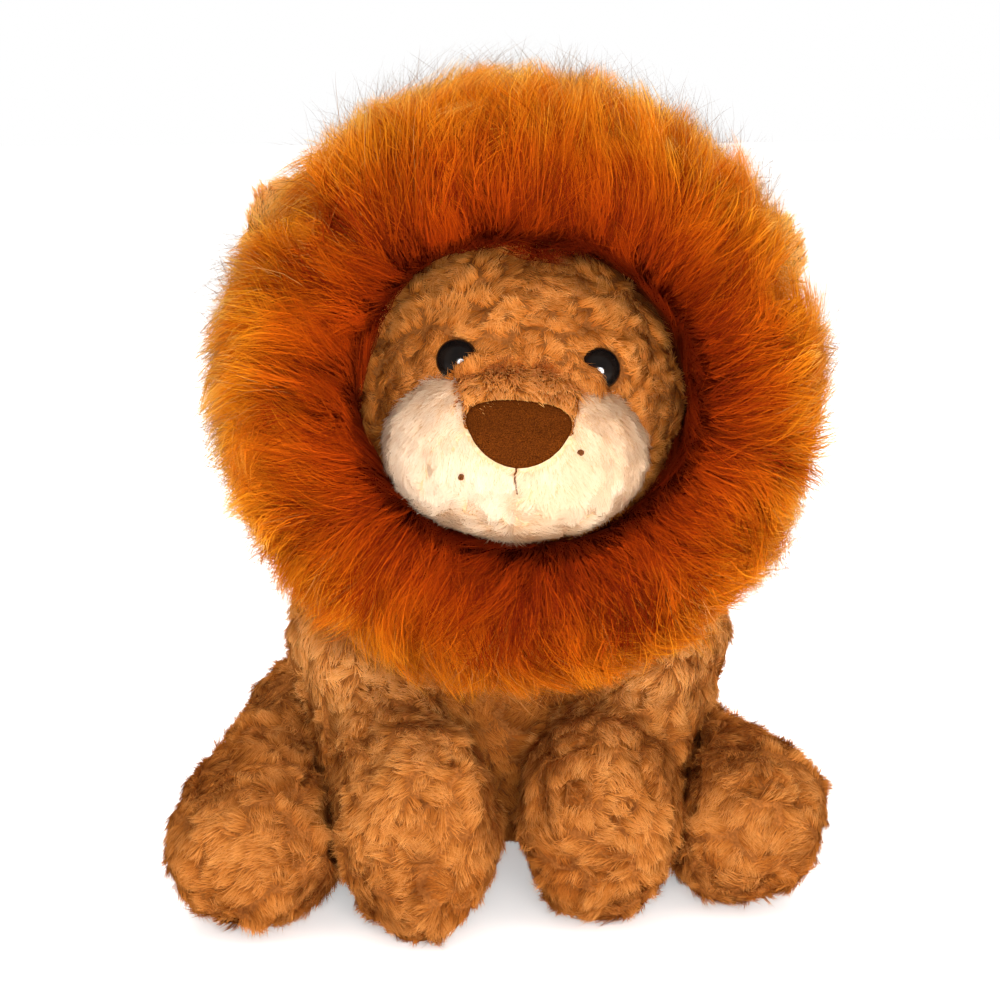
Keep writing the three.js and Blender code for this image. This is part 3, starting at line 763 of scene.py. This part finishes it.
torso = lumpy(skin("body_skin", ("body_cover", "body_filling"), caramel_cloth), 2.3 * MM, 18 * MM)
limbs = {}
for side in SIDES:
    for limb in ("front_leg", "hind_leg"):
        node = f"{limb}_{side}"
        form = skin(f"{node}_skin", (f"{node}_cover", f"{node}_filling"), caramel_cloth)
        limbs[node] = lumpy(form, 2.4 * MM, 17 * MM)
sunk(limbs["hind_leg_right"], RIGHT_HAUNCH, 28 * MM, 9 * MM)
sunk(limbs["hind_leg_right"], RIGHT_SOLE, 20 * MM, 9 * MM)
sunk(limbs["front_leg_right"], RIGHT_SHOULDER, 24 * MM, -6 * MM)
for side in SIDES:
    front, hind = limbs[f"front_leg_{side}"], limbs[f"hind_leg_{side}"]
    kept_off(front, [torso])
    kept_off(hind, [torso, front])

head = skin("head_skin", ("head_cover", "head_filling"), caramel_cloth)
lumpy(head, 1.1 * MM, 15 * MM, parting=1.2 * MM, draw_in=0.5 * MM)


def eye_axis(node):
    """The rim's middle of a safety eye and the way that its dome faces."""
    co = coordinates(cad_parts[node].data)
    middle = co.mean(axis=0)
    about = co - middle
    spreads, ways = np.linalg.eigh(np.cov(about.T))
    odd = 0 if spreads[1] - spreads[0] > spreads[2] - spreads[1] else 2
    axis = ways[:, odd] * -np.sign(ways[1, odd])
    radius = np.linalg.norm(about - np.outer(about @ axis, axis), axis=1)
    rim = co[radius > radius.max() * 0.98].mean(axis=0)
    return middle + axis * ((rim - middle) @ axis), axis, radius.max()


eyes = {side: eye_axis(f"eye_{side}") for side in SIDES}


# The brow, in millimetres: its ends are inwards of the eyes' middles and below them
BROW_IN, BROW_BELOW = 5.4, 5.2
BROW_END_HIGH, BROW_END_WIDE = 9.6, 5.8
BROW_MIDDLE_HIGH, BROW_ABOVE, BROW_UNDER = 7, 15, 5
SOCKET_HIGH, SOCKET_RADIUS, SOCKET_WIDE = 2.3, 9, 4


def brow(co):
    """How far the face is raised between the eyes and over their lower inner sides."""
    x, y, z = in_head(co).T
    left, right = (in_head(eyes[side][0]) for side in SIDES)
    start = np.array([left[0] + BROW_IN, left[2] - BROW_BELOW])
    run = np.array([right[0] - BROW_IN, right[2] - BROW_BELOW]) - start
    flat = np.stack([x, z], axis=1) - start
    share = np.clip(flat @ run / (run @ run), 0, 1)
    distance = np.linalg.norm(flat - share[:, None] * run, axis=1)
    between = np.sin(share * math.pi)
    height = BROW_END_HIGH * MM * bell(distance, BROW_END_WIDE) * (1 - between)
    rise = flat[:, 1] - share * run[1]
    height += BROW_MIDDLE_HIGH * MM * bell(rise, np.where(rise > 0, BROW_ABOVE, BROW_UNDER)) * between**1.5
    for eye in (left, right):
        round_eye = np.hypot(x - eye[0], z - eye[2])
        height += SOCKET_HIGH * MM * bell(round_eye - SOCKET_RADIUS, SOCKET_WIDE)
    return height * (y < -20)


raised(head, brow)
torso_hair = pile(torso, "body_pile", seed=1, others=[*limbs.values(), head], tone_at=painted_shade_low, **BODY_PILE)
dress(torso, "torso", ("body_cover", "body_filling"), torso_hair)
for number, (node, form) in enumerate(limbs.items()):
    near = [torso] + [other for other in limbs.values() if other is not form]
    hair = pile(form, f"{node}_pile", seed=50 + 10 * number, others=near, tone_at=painted_light_high, **BODY_PILE)
    dress(form, node, (f"{node}_cover", f"{node}_filling"), hair)


# Nose and eyes


def nose_material():
    """Suede with a fine nap, darker in patches."""
    shader = Shader("nose suede", Roughness=0.95, Specular_IOR_Level=0.0)
    grain = shader.noise(0.4 * MM, detail=4.0, roughness=0.7)
    cloud = shader.noise(6 * MM)
    fine = shader.ramp(grain, (0.38, srgb(36, 13, 2)), (0.62, srgb(98, 46, 12)))
    blend = shader.ramp(cloud, (0.3, (0.0,) * 3 + (1,)), (0.7, (0.4,) * 3 + (1,)))
    shader.colour(shader.mix(blend, fine, srgb(72, 32, 7)))
    shader.bump(grain, 0.8, 0.3 * MM)
    return shader.material


def cloudy_material(name, size, *steps, relief=None, **inputs):
    """A colour that clouds a little, with relief of the same grain."""
    shader = Shader(name, **inputs)
    cloud = shader.noise(size)
    shader.colour(shader.ramp(cloud, *stops(*steps)))
    if relief:
        shader.bump(cloud, *relief)
    return shader.material


black_plastic = cloudy_material("eye", 4 * MM, (0.2, 8, 7, 7), (0.8, 24, 18, 14), Roughness=0.02, IOR=1.2)
white_plastic = cloudy_material(
    "washer plastic", 3 * MM, (0.3, 226, 224, 216), (0.7, 240, 239, 233), relief=(0.2, 0.1 * MM),
    Roughness=0.45,
)
thread = cloudy_material(
    "thread", 0.3 * MM, (0.3, 74, 38, 16), (0.7, 122, 70, 36), relief=(0.6, 0.1 * MM),
    Roughness=0.8, Specular_IOR_Level=0.0,
)

nose = raised(skin("nose_pad", ("nose",), nose_material(), voxel=0.6 * MM, soften=12), 0.3 * MM)
dress(nose, "head", ("nose",))


def circle(axis, angles):
    """Places on the unit circle round an axis."""
    across = unit(np.cross(axis, [0.0, 0.0, 1.0]))
    return np.cos(angles)[:, None] * across + np.sin(angles)[:, None] * np.cross(across, axis)


def net_faces(bands, rings, turns):
    """Four-sided faces in the bands between closed rings of points."""
    return [
        (low * turns + i, high * turns + i, high * turns + after, low * turns + after)
        for low, high in ((band, (band + 1) % rings) for band in range(bands))
        for i, after in ((i, (i + 1) % turns) for i in range(turns))
    ]


def lathe(name, place, axis, outline, material, turns=48):
    """A closed round body: outline is [distance along the axis, radius] from one pole to the other."""
    ring = circle(axis, np.linspace(0, 2 * math.pi, turns, endpoint=False))
    rings = [place + axis * along + ring * radius for along, radius in outline]
    mesh = bpy.data.meshes.new(name)
    mesh.from_pydata(np.concatenate(rings).tolist(), [], net_faces(len(outline) - 1, len(outline), turns))
    shape = bmesh.new()
    shape.from_mesh(mesh)
    bmesh.ops.remove_doubles(shape, verts=shape.verts, dist=0.001 * MM)
    bmesh.ops.recalc_face_normals(shape, faces=shape.faces)
    shape.to_mesh(mesh)
    return new_object(name, mesh, material)


def dome_outline(radius, height, shank):
    """A domed head with a rounded rim, on a plain shank."""
    dome = [(height * math.cos(a), radius * math.sin(a)) for a in np.linspace(0, math.pi / 2, 18)]
    rim = [(-0.5 * MM, radius * 0.99), (-0.9 * MM, radius * 0.9), (-1.0 * MM, radius * 0.75)]
    back = [(-1.0 * MM, 2.1 * MM), (-shank, 2.0 * MM), (-shank, 0.0)]
    return dome + rim + back


domes = {}
for side, (middle, axis, radius) in eyes.items():
    co = coordinates(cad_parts[f"eye_{side}"].data)
    along = (co - middle) @ axis
    outline = dome_outline(radius, along.max(), -along.min())
    domes[side] = eye = lathe(f"eye_{side}_dome", middle, axis, outline, black_plastic)
    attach(eye, "head")
    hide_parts(f"eye_{side}")
    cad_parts[f"eye_washer_{side}"].material_slots[0].material = white_plastic


# Head

# The mouth's stitches and the whisker knots, as pixels of the picture
STITCH = [(517, row) for row in range(468, 493, 3)]
KNOTS = [(463, 476), (579, 453)]
STITCH_CLEAR, KNOT_CLEAR = 0.8 * MM, 1.0 * MM
# In millimetres of the head's frame: the neck's height, and the muzzle's middle and half axes
NECK = -56
MUZZLE_MIDDLE, MUZZLE_HALF = [0, -49, -14], [43, 36, 28]


def bare_in_front(points):
    """Where the face's pile is left out: behind the face, under the mane's band, and at the neck."""
    _, y, z = in_head(points).T
    return (y > -23) | (z < NECK)


def bare_behind(points):
    """Where the pile of the back of the head is left out: before it, and at the neck."""
    _, y, z = in_head(points).T
    return (y < -14) | (z < NECK)


NOSE_TOP = in_head(coordinates(nose.data))[:, 2].max()


def above_nose(co):
    """How far the bridge is filled out, above the nose."""
    return 0.8 * MM * np.clip((in_head(co)[:, 2] - NOSE_TOP + 3) / 7, 0, 1)


cheeks = {}
for side in SIDES:
    form = skin(f"cheek_{side}_skin", (f"muzzle_cheek_{side}",), cream_cloth, voxel=1.0 * MM, soften=4)
    cheeks[side] = raised(form, 0.7 * MM)
bridge = raised(skin("bridge_skin", ("muzzle_bridge",), caramel_cloth, voxel=1.0 * MM, soften=3), 1.1 * MM)
raised(bridge, above_nose)
HEAD_PILE = dict(
    density=3.6, length=5.5 * MM, width=0.28 * MM, clump=4.2 * MM, gather=0.22, part=0.35, spread=0.85,
    comb=from_brow, hold=0.7,
)
beside = [*cheeks.values(), bridge, nose, torso, *domes.values()]
head_hair = pile(
    head, "face_pile", face_pile, seed=200, tone_shift=-0.02, spare=bare_in_front, others=beside, **HEAD_PILE
)
head_hair += pile(head, "nape_pile", caramel_pile, seed=210, spare=bare_behind, others=[torso], **HEAD_PILE)
dress(head, "head", ("head_cover", "head_filling"), head_hair)

stitch_path = [seen_at(*place, cheeks.values()) for place in STITCH]
knot_places = [seen_at(*place, cheeks.values()) for place in KNOTS]


def under_nose(points):
    """Which points lie behind the nose."""
    tree, ahead = tree_of(nose), Vector(HEAD_AXES @ [0, -1, 0])
    return np.array([tree.ray_cast(Vector(point), ahead, 9 * MM)[0] is not None for point in points])


def bare_on_cheeks(points):
    """The panels' inner faces, which lie against the stuffing, and under the nose and the stitches."""
    places = in_head(points)
    depth = np.linalg.norm((places - MUZZLE_MIDDLE) / MUZZLE_HALF, axis=1)
    bare = (depth < 0.955) | (places[:, 1] > -50) | under_nose(points)
    for stitches, clear in ((stitch_path, STITCH_CLEAR), (knot_places, KNOT_CLEAR)):
        for place, _ in stitches:
            bare |= np.linalg.norm(points - place, axis=1) < clear
    return bare


def bare_on_bridge(points):
    """The bridge's pile ends at the nose's upper corners, where the cheeks begin."""
    return bare_on_cheeks(points) | (in_head(points)[:, 2] < NOSE_TOP - 3)


for side, form in cheeks.items():
    left = side == "left"
    # The right cheek's pile is darker and more varied: painted shade on the side away from the light, over its
    # own tan streaks
    hair = pile(
        form, f"cheek_{side}_pile", cream_pile, seed=300 if left else 320, density=7.5, length=4.0 * MM,
        width=0.22 * MM, clump=5 * MM, gather=0.06, lift=0.5, comb=from_nose, hold=6.0, spare=bare_on_cheeks,
        others=[nose], spread=0.4 if left else 1.0, tone_shift=0.0 if left else -0.35, part=0.15,
    )
    nodes = (f"muzzle_cheek_{side}",) + (("muzzle_filling",) if left else ())
    dress(form, "head", nodes, hair)
# The bridge's pile is set much lighter as painted light, lifting the shade on its upturned slope under the mane
bridge_hair = pile(
    bridge, "bridge_pile", face_pile, seed=340, density=4.5, length=6.5 * MM, width=0.32 * MM,
    clump=4.5 * MM, gather=0.25, lift=0.5, comb=to_nose, hold=1.2, spare=bare_on_bridge, others=[nose],
    part=0.15, tone_shift=0.8,
)
dress(bridge, "head", ("muzzle_bridge",), bridge_hair)


# Mane

# The section of the ring, as shares [way out, way forward], from the roots to the rim
FRONT_LINE = np.array([
    [0, 0.02], [0, 0.24], [0.09, 0.42], [0.28, 0.5], [0.52, 0.48], [0.76, 0.42], [1, 0.33]
])
BACK_LINE = np.array([[0, 0], [0, -0.3], [0.16, -0.5], [0.44, -0.47], [0.72, -0.4], [1, -0.28]])
MANE_ROOT_WIDE, MANE_ROOT_HIGH, MANE_RIM, MANE_DEPTH = 57.3 * MM, 52 * MM, 104 * MM, 68 * MM
MANE_ROOT_ASIDE, MANE_ROOT_RISE = 2.5 * MM, 5 * MM
MANE_FORWARD, MANE_RISE, MANE_ASIDE = 35 * MM, 8.5 * MM, -0.4 * MM
MANE_TOP_BACK, MANE_BOTTOM_FORWARD = 7 * MM, 13 * MM
LOCK_STRANDS = 40
# Above the forehead the edge falls further over the face
FRINGE_ANGLE, FRINGE_WIDTH = 0.12, 0.3
# The ears' angles round the mane, and the half width of the dip in its rim at each
EARS = ((math.radians(-56), math.radians(9)), (math.radians(66), math.radians(8)))


def along_line(line, share):
    """Points at shares of the length of a line of points."""
    steps = np.linalg.norm(np.diff(line, axis=0) * [54, 68], axis=1)
    marks = np.concatenate([[0], np.cumsum(steps)]) / steps.sum()
    return np.stack([np.interp(share, marks, line[:, i]) for i in range(2)], axis=-1)


def mane_points(angle, fan, share):
    """Places in the mane, and how far out each is.

    angle goes round the face, fan from -1 at the back to 1 in front, share from the roots to the rim.
    """
    middle = np.stack([share, np.zeros_like(share)], axis=-1)
    edge = np.where((fan >= 0)[..., None], along_line(FRONT_LINE, share), along_line(BACK_LINE, share))
    section = middle + (edge - middle) * np.abs(fan)[..., None]
    lower = (1 - np.cos(angle)) / 2
    out = section[..., 0]
    ahead = section[..., 1] * (1 - 0.45 * lower**2 * out)
    lean = -MANE_TOP_BACK + (MANE_TOP_BACK + MANE_BOTTOM_FORWARD) * lower
    wide = MANE_ROOT_WIDE + (MANE_RIM - MANE_ROOT_WIDE) * out
    high = MANE_ROOT_HIGH + (MANE_RIM - MANE_ROOT_HIGH) * out
    points = np.stack([
        wide * np.sin(angle) + MANE_ASIDE * out + MANE_ROOT_ASIDE * (1 - out),
        -(MANE_FORWARD + MANE_DEPTH * ahead + lean * out),
        high * np.cos(angle) + MANE_RISE * out + MANE_ROOT_RISE * (1 - out),
    ], axis=-1)
    return points, out


def turned_from(angle, middle):
    """How far an angle is from another, from -pi to pi."""
    return (angle - middle + math.pi) % (2 * math.pi) - math.pi


def round_ears(angle, share):
    """Keeps the pile short in front of the ears' tips."""
    for middle, half in EARS:
        near = np.exp(-((turned_from(angle, middle) / half) ** 4))
        share = np.minimum(share, 1.3 - 0.54 * near)
    return share


def mane_strands(
    name, count, seed, start, reach, fan, width, stray=0.0, gather=0.4, over=0.07, inward=0.0, shift=0.0,
    across=0.0, material=mane_pile,
):
    """Long strands round the ring that gather in locks.

    start and reach are shares of the way to the rim, over is how far they pass it, fan the layers they
    fill, across how far they lie over the rim's middle, and inward how far they fall over the face.
    """
    rng = np.random.default_rng(seed)
    rings = 6
    step = np.linspace(0, 1, rings)[None, :]
    angle = rng.uniform(0, 2 * math.pi, count)
    begin = rng.uniform(*start, count)
    run = rng.uniform(*reach, count)
    front = rng.random(count) < 0.6
    deep = fan[0] + (fan[1] - fan[0]) * rng.random(count) ** 0.5
    deep = np.where(front, deep, -deep)

    # Locks of neighbours, by their places in a plain ring
    flat = np.stack([80 * MM * np.sin(angle), 45 * MM * deep, 80 * MM * np.cos(angle)], axis=1)
    flat = flat * (0.7 + 0.5 * begin[:, None])
    seeds = rng.choice(count, max(count // LOCK_STRANDS, 4), replace=False)
    owner = seeds[nearest(flat, flat[seeds])]

    # How they sway, nod, curl and part, and where they end
    wander = Noise(1)(flat, 30 * MM) * 0.34 + Noise(2)(flat, 11 * MM) * 0.17
    sway = wander + rng.normal(0, 0.05 + stray, count)
    nod = Noise(3)(flat, 20 * MM) * 0.25 + rng.normal(0, 0.08 + stray, count)
    curl = Noise(5)(flat, 16 * MM) * 0.06 + rng.normal(0, 0.02, count)
    fringe = 1 + 1.6 * bell(turned_from(angle, 0) - FRINGE_ANGLE, FRINGE_WIDTH)
    fringe = fringe * np.clip(0.9 + 1.8 * Noise(9)(flat, 12 * MM), 0.1, 2.2)
    furrow = bell(Noise(8)(flat * [1, 0.4, 1], 13 * MM), 0.13) * (deep > 0)
    loose = over * (1 + 0.8 * np.sin(angle) ** 2)
    end = round_ears(angle, np.minimum(begin + run, 1.0 + loose * rng.random(count) ** 2))
    begin = np.minimum(begin, end - 0.1)

    # Their paths, drawn together towards the lock's tip
    share = begin[:, None] + step * (end - begin)[:, None]
    angles = angle[:, None] + sway[:, None] * step**1.4 + curl[:, None] * np.sin(step * math.pi)
    laid = 1 - across * rng.uniform(0.5, 1.5, count)[:, None] * step**1.3
    fans = np.clip(deep[:, None] * laid + (nod - 0.3 * furrow)[:, None] * step, -1.1, 1.1)
    points, out = mane_points(angles, fans, np.clip(share, 0, 1))
    radial = np.stack([np.sin(angles), np.zeros_like(angles), np.cos(angles)], axis=-1)
    points = points + radial * np.maximum(share - 1, 0)[..., None] * 60 * MM
    points = points - radial * (inward * fringe[:, None] * step * (1.6 - step))[..., None]
    tips = points[owner] + (points[:, :1] - points[owner][:, :1]) * 0.3
    pull = (gather * step**1.6)[..., None]
    points = points * (1 - pull) + tips * pull

    # The normals that light them: the ring's and the rounded locks'
    zeros = np.zeros(count)
    tangent = np.stack([np.cos(angle), zeros, -np.sin(angle)], axis=1)
    apart = np.sum((points[:, 0] - points[owner, 0]) * tangent, axis=1) / (6 * MM)
    ahead = np.stack([zeros, -deep, zeros], axis=1)
    outward = radial * (0.15 + 1.0 * out)[..., None] + ahead[:, None, :] * (1.1 - 0.7 * out)[..., None]
    shade = unit(outward) + 0.5 * np.clip(apart, -1, 1)[:, None, None] * tangent[:, None, :]
    tilt = rng.normal(0, 0.26, (count, 3))[owner] + rng.normal(0, 0.12, (count, 3))
    shade = unit(shade + tilt[:, None, :]) @ HEAD_AXES.T
    facing = unit(shade[:, rings // 2] + rng.normal(0, 0.3, (count, 3)))

    # Their tone, darker as painted shade for deep strands and those in furrows, and the height that colours
    # them from root to tip
    lock_tone = rng.normal(0, 0.2, count)[owner]
    broad = Noise(4)(flat, 30 * MM) * 0.22 + Noise(6)(flat, 10 * MM) * 0.16
    tone = 0.46 + shift + lock_tone + broad - 0.45 * furrow - 0.5 * (1 - np.abs(deep)).clip(0)
    tone = np.clip(tone + rng.normal(0, 0.16, count) + 0.4 * (rng.random(count) < 0.15), 0, 1)
    below = np.clip(-np.cos(angle), 0, 1)[:, None] ** 2
    height = np.clip((0.82 * out + 0.18 * step * end[:, None]) * (1 - 0.2 * below), 0, 1)
    widths = width * rng.uniform(0.6, 1.3, count)
    return strand_pieces(name, to_world(points), facing, shade, widths, tone, height, material)


def mane_core():
    """The dense inner pile that closes the view between the long strands."""
    angles, rows = 160, 28
    line = np.concatenate([np.linspace(0.16, 1, rows // 2), np.linspace(1, 0.16, rows // 2)])
    fans = np.repeat([0.72, -0.72], rows // 2)
    turns = np.linspace(0, 2 * math.pi, angles, endpoint=False)[:, None].repeat(rows, axis=1)
    rough = np.random.default_rng(9).uniform(0.68, 0.8, (angles, 1))
    points, _ = mane_points(turns, np.tile(fans, (angles, 1)), line * rough)
    mesh = bpy.data.meshes.new("mane_core")
    mesh.from_pydata(to_world(points.reshape(-1, 3)).tolist(), [], net_faces(angles, angles, rows))
    return new_object("mane_core", mesh, mane_cloth)


core = mane_core()
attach(core, "head")
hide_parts("mane_fur")

# The band is kept behind this y of the head's frame, where the face's pile hides it
BAND_FRONT = -19
band = skin("mane_band", ("mane_backing",), band_cloth, voxel=1.2 * MM, soften=2)
places = in_head(coordinates(band.data))
places[:, 1] = np.maximum(places[:, 1], BAND_FRONT)
set_coordinates(band.data, to_world(places * MM))
dress(band, "head", ("mane_backing",))
# Strands, seed, the ranges of start, reach and fan, width in millimetres, and the rest
MANE_GROUPS = {
    "mane_long": (44000, 500, (0.0, 0.06), (0.5, 1.0), (0.1, 1.0), 0.31, {}),
    "mane_over": (48000, 510, (0.05, 0.8), (0.22, 0.5), (0.8, 1.06), 0.29, dict(stray=0.03, gather=0.82)),
    # The rim's strands are set lighter, partly as painted light shining through them
    "mane_rim": (16000, 550, (0.6, 0.86), (0.1, 0.3), (0.0, 1.0), 0.28, dict(stray=0.06, shift=0.3)),
    "mane_turn": (
        20000, 560, (0.8, 0.92), (0.02, 0.1), (0.1, 0.85), 0.29, dict(stray=0.08, shift=0.2, across=0.8)
    ),
    # The strands at the face's opening are set much darker as painted shade in the gap round the face
    "mane_edge": (
        7000, 520, (0.0, 0.08), (0.12, 0.36), (0.7, 1.08), 0.28,
        dict(stray=0.12, gather=0.6, inward=3 * MM, shift=-0.6),
    ),
    "mane_stray": (
        2000, 540, (0.1, 0.7), (0.2, 0.4), (0.95, 1.1), 0.18, dict(stray=0.1, gather=0.2, shift=0.4)
    ),
    "mane_wisps": (
        12000, 530, (0.5, 0.8), (0.4, 0.6), (0.2, 1.0), 0.14,
        dict(stray=0.05, gather=0.1, over=0.19, material=wisp_pile),
    ),
}
for name, (*values, width, rest) in MANE_GROUPS.items():
    for strands in mane_strands(name, *values, width * MM, **rest):
        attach(strands, "head")


# Ears and tail

for side in SIDES:
    ear = skin(f"ear_{side}_skin", (f"ear_{side}",), caramel_cloth, voxel=1.4 * MM, soften=4)
    # The ears' pile is golden and set lighter: partly their own colour, partly painted light that lifts the
    # mane's shade off them
    hair = pile(
        raised(ear, 0.5 * MM), f"ear_{side}_pile", seed=400 if side == "left" else 420, comb=to_ear_tips,
        lift=0.5, tone_shift=0.25, **{**BODY_PILE, "material": golden_pile, "part": 0.0, "spread": 0.6},
    )
    dress(ear, "head", (f"ear_{side}",), hair)

tail = skin("tail_skin", ("tail",), caramel_cloth, voxel=1.4 * MM, soften=4)
dress(tail, "tail", ("tail",), pile(tail, "tail_pile", seed=440, **BODY_PILE))
tuft = skin("tail_tuft_skin", ("tail_tuft",), mane_cloth, voxel=1.4 * MM, soften=4)
tuft_hair = pile(
    tuft, "tail_tuft_pile", mane_pile, seed=460, density=1.6, length=14 * MM, width=0.42 * MM,
    clump=5 * MM, lift=0.35,
)
dress(tuft, "tail", ("tail_tuft",), tuft_hair)


# Stitches

THREAD_RADIUS, THREAD_ABOVE, THREAD_ENDS = 0.3 * MM, 0.9 * MM, 2 * MM
KNOT_THREAD, KNOT_TURNS = 0.32 * MM, 2.4


def thread_piece(name, points, radius, material):
    """A thread along points, as a closed tube."""
    curve = bpy.data.curves.new(name, "CURVE")
    curve.dimensions = "3D"
    curve.bevel_depth = radius
    curve.bevel_resolution = 3
    curve.use_fill_caps = True
    spline = curve.splines.new("POLY")
    spline.points.add(len(points) - 1)
    for target, point in zip(spline.points, points):
        target.co = (*point, 1.0)
    held = bpy.data.objects.new(name, curve)
    piece = new_object(name, bpy.data.meshes.new_from_object(held), material)
    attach(piece, "head")


def knot_path(place, normal):
    """A coil that rises and narrows, with both ends sunk in the cheek's pile."""
    angles = np.linspace(0, KNOT_TURNS * 2 * math.pi, 30)
    above = (1.0 + 0.09 * angles)[:, None] * MM
    aside = (0.8 - 0.02 * angles)[:, None] * MM
    coil = place + normal * above + circle(normal, angles) * aside
    return [place - normal * 1.5 * MM, *coil, place + normal * 1.3 * MM]


line = [place + normal * THREAD_ABOVE for place, normal in stitch_path]
first, last = (normal * THREAD_ENDS for _, normal in (stitch_path[0], stitch_path[-1]))
thread_piece("mouth_stitch", [line[0] - first, *line, line[-1] - last], THREAD_RADIUS, thread)
for number, (place, normal) in enumerate(knot_places):
    thread_piece(f"whisker_knot_{number + 1}", knot_path(place, normal), KNOT_THREAD, thread)
